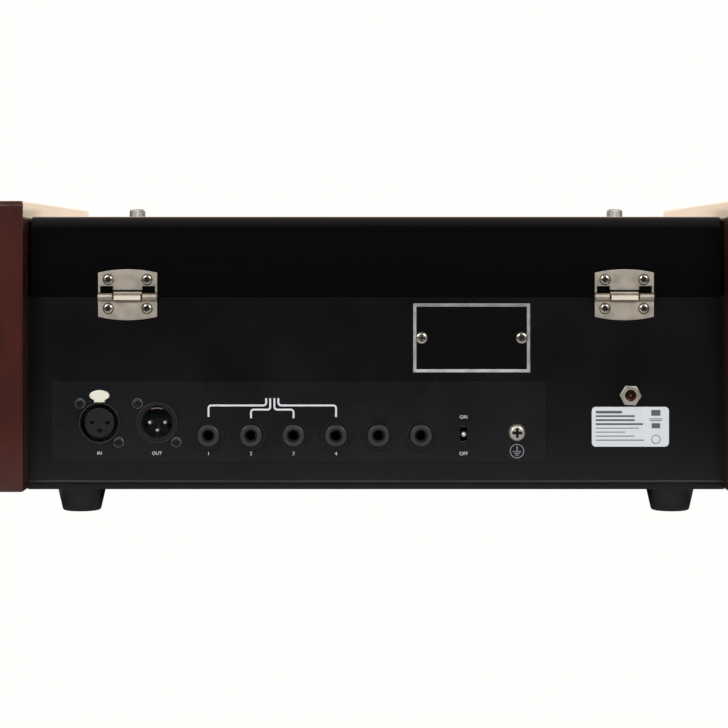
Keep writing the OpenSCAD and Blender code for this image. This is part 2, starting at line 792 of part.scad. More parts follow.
// Leaves on the lid with the middle knuckle
module hinge_lid_leaves() color([0.66, 0.62, 0.57]) hinge_places() {
  strip_x = hinge_w / 2 - (knuckle_side_w - leaf_window_w);
  difference() {
    union() {
      translate([0, hinge_out, 0]) rotate([90, 0, 0]) linear_extrude(leaf_t) difference() {
        leaf_outline(upper_leaf_h);
        for (s = [-1, 1]) {
          translate([s * hinge_screw_x, upper_screw_z]) circle(screw_r + fit);
          translate([s * (strip_x - leaf_window_w / 2), leaf_window_top / 2 + 0.5])
            square([leaf_window_w, leaf_window_top - 1], center = true);
        }
      }
      translate([-knuckle_mid_w / 2, hinge_out - leaf_t, 0]) cube([knuckle_mid_w, leaf_t, leaf_notch + 0.1]);
      translate([-knuckle_mid_w / 2, 0, 0]) rotate([0, 90, 0]) cylinder(r = knuckle_r, h = knuckle_mid_w);
    }
    pin_cut();
  }
}

// Pins through the knuckles
module hinge_pins() color([0.72, 0.7, 0.66]) hinge_places() rotate([0, 90, 0])
  cylinder(r = hinge_pin_r, h = hinge_w, center = true);

// Screws that hold the upper leaves to the lid
module hinge_lid_screws() color([0.7, 0.68, 0.64]) for (h = [-1, 1], s = [-1, 1])
  at_rear(h * hinge_x + s * hinge_screw_x, hinge_z + upper_screw_z, rear_y - leaf_t) cross_screw(lid_wall + leaf_t + 3);

// ---- rear connections ----

module xlr_cross_holes() {
  for (s = [-1, 1]) translate([s * xlr_screw_off, -s * xlr_screw_off]) circle(screw_r + fit);
}

// Connection plate with its openings
module io_plate() color([0.1, 0.1, 0.12]) at_rear(0, 0, plate_back_y) linear_extrude(plate_t) difference() {
  translate([plate_cx, plate_cz]) square([plate_w - 2 * fit, plate_h - 2 * fit], center = true);
  for (x = [xlr_in_x, xlr_out_x]) translate([x, xlr_z]) {
    circle(xlr_ring_r + fit);
    xlr_cross_holes();
  }
  translate([xlr_in_x, xlr_z + latch_z]) slot_shape(latch_w + 2 * gap, latch_h + 2 * gap);
  translate([xlr_in_x, xlr_z + latch_z / 2]) square([latch_neck_w + 2 * gap, latch_z], center = true);
  for (i = [0 : jack_count - 1]) translate([jack_x(i), jack_z]) circle(jack_sleeve_r + fit);
  translate([stop_x, stop_z]) slot_shape(stop_slot_w, stop_slot_h);
  translate([earth_x, earth_z]) circle(2.5 + fit);
}

// The housing of a round socket: a square flange behind the plate and a barrel through it
module xlr_barrel() {
  translate([0, 0, -xlr_flange_t]) linear_extrude(xlr_flange_t) difference() {
    round_rect(xlr_flange, xlr_flange, 2);
    xlr_cross_holes();
  }
  translate([0, 0, -xlr_depth]) cylinder(r = xlr_ring_r, h = xlr_depth + plate_t + xlr_ring_proud);
}

// Housing of the round input
module xlr_in_socket() color([0.08, 0.08, 0.08]) at_rear(xlr_in_x, xlr_z, plate_back_y) difference() {
  xlr_barrel();
  translate([0, 0, plate_t - xlr_groove]) cylinder(r = xlr_mouth_r, h = xlr_groove + 5);
  translate([-latch_w / 2 - gap, latch_z - latch_h / 2 - gap, -xlr_flange_t - 1])
    cube([latch_w + 2 * gap, xlr_flange, xlr_flange_t + 1]);
}

// Insert of the round input, with its three contact holes
module xlr_in_insert() color([0.12, 0.12, 0.12]) at_rear(xlr_in_x, xlr_z, plate_back_y) difference() {
  translate([0, 0, plate_t - xlr_groove]) {
    cylinder(r = xlr_mouth_r - fit, h = 2);
    cylinder(r = xlr_insert_r, h = xlr_groove);
  }
  for (a = xlr_angles) rotate([0, 0, a]) translate([xlr_contact_r, 0, plate_t - xlr_groove + 1])
    cylinder(r = xlr_hole_r, h = xlr_groove);
}

// Release tab of the round input
module xlr_latch() color([0.93, 0.9, 0.8]) at_rear(xlr_in_x, xlr_z, plate_back_y) {
  front = plate_t + latch_proud;
  translate([0, latch_z, -latch_deep]) linear_extrude(latch_deep + front) slot_shape(latch_w, latch_h);
  neck_z = xlr_ring_r + gap;
  translate([-latch_neck_w / 2, neck_z, -latch_deep])
    cube([latch_neck_w, latch_z - neck_z, latch_deep + plate_t + xlr_ring_proud]);
}

// Housing of the round output
module xlr_out_socket() color([0.08, 0.08, 0.08]) at_rear(xlr_out_x, xlr_z, plate_back_y) difference() {
  xlr_barrel();
  translate([0, 0, plate_t - xlr_groove]) cylinder(r = xlr_hollow_r, h = xlr_groove + 5);
  translate([-2.2, xlr_hollow_r - 0.5, plate_t - xlr_groove]) cube([4.4, 1.4, xlr_groove + 5]);
  for (a = xlr_angles) rotate([0, 0, a]) translate([xlr_contact_r, 0, -xlr_depth - 1])
    cylinder(r = xlr_pin_r + run, h = xlr_depth);
}

// The three pins of the round output
module xlr_out_pins() color([0.8, 0.79, 0.75]) at_rear(xlr_out_x, xlr_z, plate_back_y)
  for (a = xlr_angles) rotate([0, 0, a]) translate([xlr_contact_r, 0, -xlr_depth - 3]) {
    cylinder(r = xlr_pin_r, h = xlr_depth + 2.4);
    translate([0, 0, xlr_depth + 2.4]) intersection() {
      cylinder(r = xlr_pin_r, h = xlr_pin_r);
      sphere(xlr_pin_r);
    }
  }

// Screws of both round sockets
module xlr_screws() color([0.1, 0.1, 0.1]) for (x = [xlr_in_x, xlr_out_x], s = [-1, 1])
  at_rear(x + s * xlr_screw_off, xlr_z - s * xlr_screw_off, plate_front_y) cross_screw(plate_t + xlr_flange_t + 2);

// The six jacks on the connection plate
module rear_jack_places(y) {
  for (i = [0 : jack_count - 1]) at_rear(jack_x(i), jack_z, y) children();
}

// The three jacks on the front panel
module front_jack_places(y) {
  for (i = [-1 : 1]) at_front(front_jack_x, mode_z + i * front_jack_pitch, y) children();
}

// Jacks behind the connection plate and behind the front
module jack_sockets() color([0.1, 0.1, 0.1]) {
  rear_jack_places(plate_back_y) jack_socket(plate_t);
  front_jack_places(inner_y) jack_socket(panel_t);
}

// Nuts of all jacks
module jack_nuts() color([0.14, 0.14, 0.15]) {
  rear_jack_places(plate_front_y) jack_nut();
  front_jack_places(front_y) jack_nut();
}

// Earth screw with its nut behind the plate
module earth_post() color([0.72, 0.71, 0.68]) at_rear(earth_x, earth_z, plate_front_y) {
  cross_screw(12, earth_head_r, 3.2, 2.5);
  translate([0, 0, -plate_t - 3]) cylinder(r = 4.5, h = 3, $fn = 6);
}

// Body of the tape stop switch, with the slot for its lever
module stop_switch_body() color([0.1, 0.1, 0.1]) at_rear(stop_x, stop_z, plate_back_y) difference() {
  w = stop_slot_w + 8;
  h = stop_slot_h + 8;
  translate([-w / 2, -h / 2, -10]) cube([w, h, 10]);
  translate([-stop_slot_w / 2 - 1.5, -stop_slot_h / 2 - 1.5, -3]) cube([stop_slot_w + 3, stop_slot_h + 3, 4]);
}

// Lever of the tape stop switch
module stop_lever() color([0.9, 0.9, 0.9]) at_rear(stop_x, stop_z, plate_back_y) {
  side = stop_slot_w + 3 - 2 * gap;
  translate([-side / 2, -side / 2, -3 + gap]) cube([side, side, 3 - 2 * gap]);
  translate([0, 0, -1]) cylinder(r = stop_lever_r, h = 1 + plate_t + 2.5);
}

// Supply socket with its centre pin
module dc_socket() color([0.12, 0.11, 0.1]) at_rear(dc_x, dc_z, rear_y + panel_t) difference() {
  union() {
    translate([-7, -7, -12]) cube([14, 14, 12]);
    cylinder(r = dc_sleeve_r, h = panel_t + 2.6);
  }
  difference() {
    translate([0, 0, -8]) cylinder(r = dc_mouth_r, h = 20);
    translate([0, 0, -9]) cylinder(r = 1, h = 9 + panel_t + 1);
  }
}

// Nut of the supply socket
module dc_nut() color([0.72, 0.71, 0.68]) at_rear(dc_x, dc_z, rear_y) difference() {
  cylinder(r = dc_sleeve_r + 2.4, h = 2.2, $fn = 6);
  translate([0, 0, -1]) cylinder(r = dc_sleeve_r + fit, h = 5);
}

// Blank name plate with a raised frame
module name_plate() color([0.07, 0.07, 0.07]) at_rear(name_x, name_z, rear_y) difference() {
  linear_extrude(name_t) difference() {
    square([name_w, name_h], center = true);
    for (s = [-1, 1]) translate([s * name_screw_x, 0]) circle(screw_r + fit);
  }
  translate([0, 0, name_t - 0.2]) linear_extrude(1)
    square([name_w - 2 * name_frame, name_h - 2 * name_frame], center = true);
  for (s = [-1, 1]) translate([s * name_screw_x, 0, name_t - 0.2]) cylinder(r = name_screw_head_r + fit, h = 1);
}

// Blank rating label
module rating_label() color([0.86, 0.87, 0.87]) at_rear(dc_x, label_z, rear_y) linear_extrude(label_t)
  round_rect(label_w, label_h, 2.4);

// Screws of the case, the deck and the feet
module panel_screws() color([0.7, 0.68, 0.64]) {
  for (s = [-1, 1]) at_rear(name_x + s * name_screw_x, name_z, rear_y - name_t + 0.2)
    cross_screw(panel_t + 3, name_screw_head_r);
  for (h = [-1, 1], s = [-1, 1]) at_rear(h * hinge_x + s * hinge_screw_x, hinge_z - lower_screw_z, rear_y - leaf_t)
    cross_screw(leaf_t + panel_t - 0.2);
  at_front(0, 0, front_y) front_screw_places() cross_screw(panel_t + 3);
  at_front(0, 0, front_y) jack_lap_places() cross_screw(panel_t + sheet_t + 1);
  deck_screw_places() translate([0, 0, deck_z]) cross_screw(2 * sheet_t + 3);
  translate([0, 0, deck_z + tank_h + cover_t]) tank_post_places() cross_screw(cover_t + 6);
  head_screw_places() translate([0, 0, deck_z + head_base_t]) cross_screw(head_base_t + sheet_t + 2);
  foot_places() translate([0, 0, foot_recess_h]) rotate([180, 0, 0])
    cross_screw(foot_h + floor_t - foot_recess_h, screw_head_r);
}

// ---- electronics and drive under the deck ----

// The board with its three rows of parts: capacitors, chips and delay lines
module circuit_board() color([0.1, 0.28, 0.16]) {
  w = board_x[1] - board_x[0];
  d = board_y[1] - board_y[0];
  translate([board_x[0], board_y[0], board_z]) cube([w, d, board_t]);
  translate([0, 0, board_z + board_t]) {
    for (i = [0:5]) translate([board_x[0] + w * (i + 0.65) / 6, board_y[1] - 3 * can_r, -0.1])
      cylinder(r = can_r, h = can_h);
    for (i = [0:8]) translate([board_x[0] + w * (i + 0.5) / 9 - chip_w / 2, board_y[0] + 0.4 * d, -0.1])
      cube([chip_w, chip_d, chip_h]);
    for (i = [0:2]) translate([board_x[0] + w * (i + 0.5) / 3 - line_w / 2, board_y[0] + 0.6 * d, -0.1])
      cube([line_w, line_d, line_d]);
  }
}

// Motor with its flange on the tray floor
module motor_body() color([0.6, 0.6, 0.6]) translate([motor_x, motor_y, panel_bottom]) difference() {
  union() {
    linear_extrude(3) round_rect(2 * motor_r + 8, 2 * motor_r + 8, 4);
    cylinder(r = motor_r, h = motor_h);
    translate([0, 0, motor_h]) cylinder(r = 6, h = 3);
  }
  translate([0, 0, motor_h - 12]) cylinder(r = motor_shaft_r + run, h = 20);
}

// Motor shaft with its flanged pulley
module motor_pulley() color([0.75, 0.68, 0.4]) translate([motor_x, motor_y, 0]) {
  translate([0, 0, panel_bottom + motor_h - 11.5])
    cylinder(r = motor_shaft_r, h = flywheel_top - (panel_bottom + motor_h - 11.5) + 2);
  translate([0, 0, flywheel_top - flywheel_t]) {
    cylinder(r = pulley_r, h = flywheel_t);
    for (z = [0, flywheel_t - pulley_flange_t]) translate([0, 0, z])
      cylinder(r = pulley_r + belt_t + gap + 0.5, h = pulley_flange_t);
  }
}

// Outline of a loop stretched round the flywheel and the pulley
module belt_outline(extra) {
  hull() {
    translate([capstan_x, capstan_y]) circle(flywheel_r + extra, $fn = 64);
    translate([motor_x, motor_y]) circle(pulley_r + extra, $fn = 64);
  }
}

// Flat belt around the pulley and the flywheel
module drive_belt() color([0.08, 0.08, 0.08]) translate([0, 0, flywheel_top - (flywheel_t + belt_w) / 2])
  linear_extrude(belt_w) difference() {
    belt_outline(gap + belt_t);
    belt_outline(gap);
  }

// Capstan shaft with its flywheel
module capstan() color([0.78, 0.77, 0.74]) translate([capstan_x, capstan_y, 0]) {
  translate([0, 0, flywheel_top - flywheel_t]) difference() {
    cylinder(r = flywheel_r, h = flywheel_t);
    translate([0, 0, -1]) tube(0.8 * flywheel_r, 0.35 * flywheel_r, 4);
  }
  translate([0, 0, flywheel_top - 1]) cylinder(r = 7, h = deck_z - bearing_len - gap - flywheel_top + 1);
  translate([0, 0, flywheel_top - 1]) cylinder(r = capstan_r, h = capstan_top - flywheel_top + 1);
}

// Flanged bearing of the capstan in the deck
module capstan_bearing() color([0.72, 0.62, 0.35]) translate([capstan_x, capstan_y, deck_z]) difference() {
  union() {
    cylinder(r = bearing_r, h = 3);
    translate([0, 0, -bearing_len]) cylinder(r = bearing_r - 2, h = bearing_len + 1);
  }
  translate([0, 0, -bearing_len - 1]) cylinder(r = capstan_r + run, h = bearing_len + 6);
}

// ---- tape deck ----

// The screws of the head block
module head_screw_places() {
  for (x = [head_block_x + 3, head_block_x + head_block_w - 3]) translate([x, head_face_y - 10, 0]) children();
}

// Base and back wall that carry the heads
module head_block() color([0.62, 0.62, 0.63]) {
  difference() {
    translate([head_block_x, head_face_y - head_d - 4, deck_z]) cube([head_block_w, head_d, head_base_t]);
    head_screw_places() translate([0, 0, deck_z - 1]) cylinder(r = screw_r + fit, h = head_base_t + 2);
  }
  translate([head_block_x, head_face_y - head_d - 7, deck_z]) cube([head_block_w, 3.2, head_base_t + head_h]);
}

// Heads with rounded faces along the tape
module tape_heads() color([0.8, 0.79, 0.76]) for (i = [0 : head_count - 1])
  translate([head_x(i), head_face_y, deck_z + head_base_t]) difference() {
    linear_extrude(head_h) intersection() {
      translate([-head_w / 2, -head_d]) square([head_w, head_d]);
      union() {
        translate([0, -head_w * 0.62]) circle(head_w * 0.62);
        translate([-head_w / 2, -head_d]) square([head_w, head_d - 5]);
      }
    }
    translate([-head_w / 2 - 1, -head_d - 1, head_h - 2.5]) cube([head_w + 2, 6, 3]);
  }

// The guides at both ends of the tape's front run
module guide_places() {
  for (x = [tape_left + turn_r, tape_right - turn_r]) translate([x, tape_line - turn_r, deck_z]) children();
}

// Flanged guide posts
module tape_guides() color([0.75, 0.74, 0.72]) {
  guide_places() {
    cylinder(r = guide_r + 2, h = tank_floor - gap);
    cylinder(r = guide_r, h = tank_floor + tape_w + 4);
    translate([0, 0, tank_floor + tape_w + gap]) cylinder(r = guide_r + 2, h = 2);
    translate([0, 0, tank_floor + tape_w + 3]) cylinder(r = 3.5, h = 3, $fn = 6);
  }
  translate([pivot_x, pivot_y, deck_z]) {
    cylinder(r = 5.5, h = arm_z - deck_z - 4 - gap);
    cylinder(r = pivot_r, h = arm_z - deck_z + arm_t + 2);
    translate([0, 0, arm_z - deck_z + arm_t + gap]) cylinder(r = 4.6, h = 1.2);
  }
}

// Half or a quarter of a turn of the tape about a centre, kept inside the square that starts at (x, y)
module tape_turn(r, x, y, w, h) {
  intersection() {
    difference() {
      circle(r + tape_t / 2);
      circle(r - tape_t / 2);
    }
    translate([x, y]) square([w, h]);
  }
}

// A straight run of the tape along Y; its ends lap into the turns
module tape_run(x, y0, y1) {
  translate([x - tape_t / 2, y0 - tape_lap]) square([tape_t, y1 - y0 + 2 * tape_lap]);
}

// Endless tape: a front run past the heads, and folds in the tank
module tape_loop() color([0.23, 0.15, 0.11]) translate([0, 0, tape_z]) linear_extrude(tape_w) {
  reach = 2 * turn_r;
  back = fold_rear + fold_r;
  front = fold_front - fold_r;
  translate([tape_left + turn_r - tape_lap, tape_line - tape_t / 2])
    square([tape_right - tape_left - 2 * turn_r + 2 * tape_lap, tape_t]);
  for (x = [tape_left, tape_right]) tape_run(x, back, tape_line - turn_r);
  translate([tape_left + turn_r, tape_line - turn_r]) tape_turn(turn_r, -reach, 0, reach, reach);
  translate([tape_right - turn_r, tape_line - turn_r]) tape_turn(turn_r, 0, 0, reach, reach);
  for (k = [0 : 2 : fold_count - 1])
    translate([fold_x(k), back]) tape_turn(fold_r, -reach, -reach, 2 * reach, reach);
  for (k = [1 : 2 : fold_count - 2])
    translate([fold_x(k), front]) tape_turn(fold_r, -reach, 0, 2 * reach, reach);
  for (k = [1 : fold_count - 1]) tape_run(tape_left + k * fold_pitch, back, front);
}

// The corner posts of the tank
module tank_post_places() {
  for (x = [tank_left + tank_wall + 2, tank_right - tank_wall - 2], y = [tank_rear + tank_wall + 2, tank_front - tank_wall - 2])
    translate([x, y, 0]) children();
}

// Open tray that holds the folds of the tape
module tape_tank() color([0.13, 0.13, 0.14]) translate([0, 0, deck_z]) difference() {
  union() {
    difference() {
      translate([tank_left, tank_rear, 0]) cube([tank_w, tank_d, tank_h]);
      translate([tank_left + tank_wall, tank_rear + tank_wall, tank_floor])
        cube([tank_w - 2 * tank_wall, tank_d - 2 * tank_wall, tank_h]);
    }
    tank_post_places() cylinder(r = tank_post_r, h = tank_h);
  }
  tank_post_places() translate([0, 0, tank_h - 8]) cylinder(r = screw_r + fit, h = 10);
  for (x = [tape_left, tape_right]) translate([x - 2, tank_front - tank_wall - 1, tank_floor])
    cube([4, tank_wall + 2, tank_h]);
}

// Clear cover of the tank
module tank_cover() color([0.5, 0.55, 0.58, 0.35]) translate([0, 0, deck_z + tank_h]) difference() {
  translate([tank_left, tank_rear, 0]) cube([tank_w, tank_d, cover_t]);
  tank_post_places() translate([0, 0, -1]) cylinder(r = screw_r + fit, h = cover_t + 2);
}

// Arm that swings the pinch roller
module pinch_arm() color([0.7, 0.69, 0.67]) translate([pivot_x, pivot_y, 0]) difference() {
  union() {
    translate([0, 0, arm_z - arm_hub_drop]) cylinder(r = arm_hub_r, h = arm_t + arm_hub_drop);
    rotate([0, 0, arm_angle]) {
      len = norm([pivot_x - capstan_x, pivot_y - roller_y]);
      translate([0, -arm_w / 2, arm_z]) cube([len, arm_w, arm_t]);
      translate([len, 0, arm_z]) cylinder(r = arm_end_r, h = arm_t);
      translate([len, 0, roller_z - gap - arm_clip_t]) {
        cylinder(r = arm_pin_r, h = arm_z - roller_z + gap + arm_clip_t + 0.2);
        cylinder(r = arm_clip_r, h = arm_clip_t);
      }
    }
  }
  translate([0, 0, arm_z - arm_hub_drop - 1]) cylinder(r = pivot_r + run, h = arm_t + arm_hub_drop + 2);
}

// Rubber roller opposite the capstan
module pinch_roller() color([0.1, 0.1, 0.1]) translate([capstan_x, roller_y, roller_z])
  tube(roller_r, arm_pin_r + run, roller_h);

// ---- front controls ----

// Places of the turned controls on the front panel, in X and Z
function control_places() = concat(
  [[input_x, mode_z], [mode_x, mode_z]],
  [for (row = [0, 1], i = [0:2]) [knob_x(i), control_z[row]]]
);

// Potentiometers behind the front panel, with their nuts
module control_pots() color([0.55, 0.55, 0.55]) for (c = control_places()) at_front(c[0], c[1], inner_y) difference() {
  union() {
    translate([0, 0, -pot_len]) cylinder(r = pot_r, h = pot_len);
    cylinder(r = pot_sleeve_r, h = panel_t + 3);
    translate([0, 0, panel_t]) cylinder(r = pot_nut_r, h = pot_nut_t, $fn = 6);
  }
  translate([0, 0, -shaft_behind - pot_floor]) cylinder(r = shaft_r + run, h = 2 * pot_len + panel_t);
}

// The control shaft that a knob turns with; the plane Z = 0 is the face of the front panel
module control_shaft() {
  translate([0, 0, -panel_t - shaft_behind]) cylinder(r = shaft_r, h = panel_t + shaft_behind + knob_h - knob_cap);
}

// The hollow under a knob: room for the nut of its control, and the hole that its shaft fills
module knob_hollow() {
  translate([0, 0, -1]) cylinder(r = pot_nut_r + 1, h = 1 + pot_nut_t + 2);
  cylinder(r = shaft_r + shaft_fit, h = knob_h - knob_cap);
}

// A knob with a skirt, a fluted grip and a line on its cap, on its shaft
module knob(skirt_r, grip_r) {
  skirt_top = 2 * gap + knob_skirt_h;
  control_shaft();
  difference() {
    union() {
      translate([0, 0, 2 * gap]) cylinder(r1 = skirt_r, r2 = skirt_r - 1.5, h = knob_skirt_h);
      translate([0, 0, skirt_top - 1]) linear_extrude(knob_h - skirt_top + 0.5) difference() {
        circle(grip_r);
        for (a = [0:20:340]) rotate(a) translate([grip_r + 0.4, 0]) circle(0.9);
      }
      translate([0, 0, knob_h - 1.5]) cylinder(r = grip_r - 1.2, h = 1.5);
    }
    knob_hollow();
    translate([-knob_line_w / 2, 1, knob_h - 0.4]) cube([knob_line_w, grip_r - 3, 2]);
  }
}

// A level knob at a place on the front
module small_knob(x, z) color([0.12, 0.12, 0.12]) at_front(x, z, front_y) knob(knob_skirt_r, knob_grip_r);

module input_knob() small_knob(input_x, mode_z);
module bass_knob() small_knob(knob_x(0), control_z[1]);
module treble_knob() small_knob(knob_x(1), control_z[1]);
module reverb_knob() small_knob(knob_x(2), control_z[1]);
module echo_knob() small_knob(knob_x(0), control_z[0]);
module rate_knob() small_knob(knob_x(1), control_z[0]);
module feedback_knob() small_knob(knob_x(2), control_z[0]);

// Mode selector with a grip bar
module mode_knob() color([0.12, 0.12, 0.12]) at_front(mode_x, mode_z, front_y) {
  control_shaft();
  difference() {
    union() {
      translate([0, 0, 2 * gap]) cylinder(r1 = mode_skirt_r, r2 = mode_skirt_r - 2, h = 4);
      translate([0, 0, 2 * gap + 2]) linear_extrude(knob_h - 2 * gap - 2) intersection() {
        circle(mode_skirt_r - 1);
        union() {
          square([mode_bar_w, 3 * mode_skirt_r], center = true);
          circle(0.7 * mode_bar_w);
        }
      }
    }
    knob_hollow();
    translate([-knob_line_w / 2, 2, knob_h - 0.6]) cube([knob_line_w, mode_skirt_r, 2]);
  }
}

// Level meter: frame in front of the panel and case behind it
module meter_case() color([0.1, 0.1, 0.1]) at_front(meter_cx, meter_z, front_y) {
  hole_w = meter_w - 2 * meter_border;
  hole_h = meter_h - 2 * meter_border;
  difference() {
    union() {
      linear_extrude(meter_frame_t) round_rect(meter_w, meter_h, 4);
      translate([-hole_w / 2, -hole_h / 2, -meter_back - panel_t]) cube([hole_w, hole_h, meter_back + panel_t + 1]);
    }
    translate([0, 0, meter_frame_t - meter_deep]) linear_extrude(meter_deep + 1)
      square([hole_w - 4, hole_h - 4], center = true);
  }
  translate([0, needle_pivot_z, meter_frame_t - meter_deep - 0.5]) cylinder(r = needle_pin_r, h = 5);
}

// Clear window of the meter
module meter_window() color([0.8, 0.85, 0.88, 0.3]) at_front(meter_cx, meter_z, front_y + meter_frame_t - 1.8)
  linear_extrude(1.5) square([meter_w - 2 * meter_border - 4 - 2 * fit, meter_h - 2 * meter_border - 4 - 2 * fit], center = true);

// Needle of the meter on its hub
module meter_needle() color([0.7, 0.12, 0.08])
  at_front(meter_cx, meter_z + needle_pivot_z, front_y + meter_frame_t - meter_deep + 1) rotate([0, 0, needle_sweep / 2])
    difference() {
      union() {
        cylinder(r = needle_hub_r, h = 2.5);
        translate([-0.4, 0, 1]) cube([0.8, needle_len, 0.8]);
      }
      translate([0, 0, -1]) cylinder(r = needle_pin_r + run, h = 5);
    }

// Body of the power switch with its sleeve and nut
module power_switch_body() color([0.6, 0.6, 0.6]) at_front(power_x, control_z[0], front_y) difference() {
  union() {
    translate([-7, -11, -panel_t - 20]) cube([14, 22, 20]);
    translate([0, 0, -panel_t - 1]) cylinder(r = power_sleeve_r, h = panel_t + 5);
    cylinder(r = 8.5, h = 2.2, $fn = 6);
  }
  translate([0, 0, lever_pivot - 5]) cylinder(r = lever_ball_r + gap, h = 7);
  translate([0, 0, lever_pivot + 2]) cylinder(r1 = lever_ball_r + gap, r2 = 5.2, h = 4);
  translate([0, 0, lever_pivot]) rotate([0, 90, 0])
    cylinder(r = lever_pin_r + run, h = lever_pin_w + 2 * gap, center = true);
}

// Lever of the power switch on its pin
module power_lever() color([0.78, 0.77, 0.75])
  at_front(power_x, control_z[0], front_y) translate([0, 0, lever_pivot]) rotate([lever_throw / 2, 0, 0]) {
    sphere(lever_ball_r);
    rotate([0, 90, 0]) cylinder(r = lever_pin_r, h = lever_pin_w, center = true);
    cylinder(r1 = lever_neck_r, r2 = lever_tip_r, h = lever_len);
    translate([0, 0, lever_len]) sphere(lever_tip_r);
  }

// Pilot lamp with a domed lens
module pilot_lamp() color([0.7, 0.1, 0.06]) at_front(power_x, control_z[1], front_y) {
  translate([0, 0, -panel_t - 9]) cylinder(r = lamp_r, h = panel_t + 9);
  cylinder(r = lamp_r + 1.6, h = 1.5);
  translate([0, 0, 1.4]) intersection() {
    sphere(lamp_r);
    cylinder(r = lamp_r, h = lamp_r);
  }
}

// ---- choice of node ----

left_cheek();
right_cheek();
base_tray();
rear_panel();
front_panel();
jack_panel();
deck_plate();
feet();
io_plate();
xlr_in_socket();
xlr_in_insert();
xlr_latch();
xlr_out_socket();
xlr_out_pins();
xlr_screws();
jack_sockets();
jack_nuts();
earth_post();
stop_switch_body();
stop_lever();
dc_socket();
dc_nut();
name_plate();
rating_label();
panel_screws();
hinge_base_leaves();
hinge_pins();
hinge_lid_leaves();
hinge_lid_screws();
lid_shell();
lid_knobs();
circuit_board();
motor_body();
motor_pulley();
drive_belt();
capstan();
capstan_bearing();
head_block();
tape_heads();
tape_guides();
tape_loop();
tape_tank();
tank_cover();
pinch_arm();
pinch_roller();
meter_case();
meter_window();
meter_needle();
control_pots();
input_knob();
bass_knob();
treble_knob();
reverb_knob();
echo_knob();
rate_knob();
feedback_knob();
mode_knob();
power_switch_body();
power_lever();
pilot_lamp();
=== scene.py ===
"""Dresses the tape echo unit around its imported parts: wooden cheeks, black case, gloss lid and tape deck.

Shapes are modelled in millimetres in a piece's own frame and placed on the unit in metres. X runs across the
unit, Y from the rear (-) to the front (+), Z up from the table.
"""

from __future__ import annotations

import json
import logging
import math
import random
from dataclasses import dataclass, replace
from enum import Enum
from typing import Callable, Iterable, Mapping, Sequence, Union

import bmesh
import bpy
from mathutils import Euler, Matrix, Vector

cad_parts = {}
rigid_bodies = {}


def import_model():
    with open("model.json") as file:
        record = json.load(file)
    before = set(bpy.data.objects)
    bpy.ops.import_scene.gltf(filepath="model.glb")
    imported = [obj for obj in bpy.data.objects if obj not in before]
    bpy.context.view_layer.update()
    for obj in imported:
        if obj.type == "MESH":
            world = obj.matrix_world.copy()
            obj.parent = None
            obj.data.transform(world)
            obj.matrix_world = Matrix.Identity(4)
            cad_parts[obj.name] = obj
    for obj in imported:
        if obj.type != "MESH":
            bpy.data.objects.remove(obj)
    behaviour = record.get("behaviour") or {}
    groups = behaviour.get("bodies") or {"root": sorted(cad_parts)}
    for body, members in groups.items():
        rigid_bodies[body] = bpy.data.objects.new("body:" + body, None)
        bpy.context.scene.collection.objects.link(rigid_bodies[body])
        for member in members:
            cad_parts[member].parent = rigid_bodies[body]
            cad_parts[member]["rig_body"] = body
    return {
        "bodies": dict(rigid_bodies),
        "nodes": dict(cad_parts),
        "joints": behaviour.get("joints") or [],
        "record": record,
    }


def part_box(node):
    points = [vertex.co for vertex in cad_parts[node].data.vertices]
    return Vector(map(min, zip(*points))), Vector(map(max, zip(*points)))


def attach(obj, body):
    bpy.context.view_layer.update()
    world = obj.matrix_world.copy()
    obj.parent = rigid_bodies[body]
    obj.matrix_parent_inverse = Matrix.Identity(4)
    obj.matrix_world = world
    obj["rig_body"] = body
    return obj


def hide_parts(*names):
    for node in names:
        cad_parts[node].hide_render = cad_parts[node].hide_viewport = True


MM = 0.001
WELD_MM = 0.0005
FLAT_DEGREES = 0.8
CAPITAL_SHARE = 0.73
INK_MM = 0.05

Colour = tuple[float, float, float, float]
Point2 = tuple[float, float]
Point3 = tuple[float, float, float]

LOG = logging.getLogger("echo_unit")


def srgb(red: float, green: float, blue: float) -> Colour:
    """Turns a screen colour into the linear one that a shader takes.

    Args:
        red, green, blue: Parts of the colour from 0 to 255.

    Returns:
        The linear colour, opaque.
    """

    def linear(part: float) -> float:
        """Returns one part of the colour in linear light."""
        share = part / 255
        return share / 12.92 if share <= 0.04045 else ((share + 0.055) / 1.055) ** 2.4

    return linear(red), linear(green), linear(blue), 1.0


def toned(colour: Colour, share: float, lift: float = 0.0) -> Colour:
    """Makes a colour darker or lighter by a share, and adds a lift."""
    red, green, blue = (min(1.0, share * part + lift) for part in colour[:3])
    return red, green, blue, 1.0


# ---- shader trees ----


class Value:
    """One output socket of a tree; arithmetic on it adds Math nodes."""

    def __init__(self, tree: Tree, socket: bpy.types.NodeSocket) -> None:
        """Keeps the tree that new Math nodes go to, and the socket."""
        self.tree = tree
        self.socket = socket

    def _math(self, operation: str, first: Number, second: Number) -> Value:
        """Adds one Math node.

        Args:
            operation: The node's operation.
            first, second: Its inputs.

        Returns:
            The node's output.
        """
        return self.tree.node("ShaderNodeMath", {"operation": operation}, {0: first, 1: second})

    def __add__(self, other: Number) -> Value:
        """Adds a number or value."""
        return self._math("ADD", self, other)

    __radd__ = __add__

    def __sub__(self, other: Number) -> Value:
        """Takes a number or value away."""
        return self._math("SUBTRACT", self, other)

    def __rsub__(self, other: Number) -> Value:
        """Takes this value away from a number."""
        return self._math("SUBTRACT", other, self)

    def __mul__(self, other: Number) -> Value:
        """Multiplies by a number or value."""
        return self._math("MULTIPLY", self, other)

    __rmul__ = __mul__

    def __gt__(self, other: Number) -> Value:
        """Gives 1 where this value is the greater."""
        return self._math("GREATER_THAN", self, other)


Number = Union[float, Value]


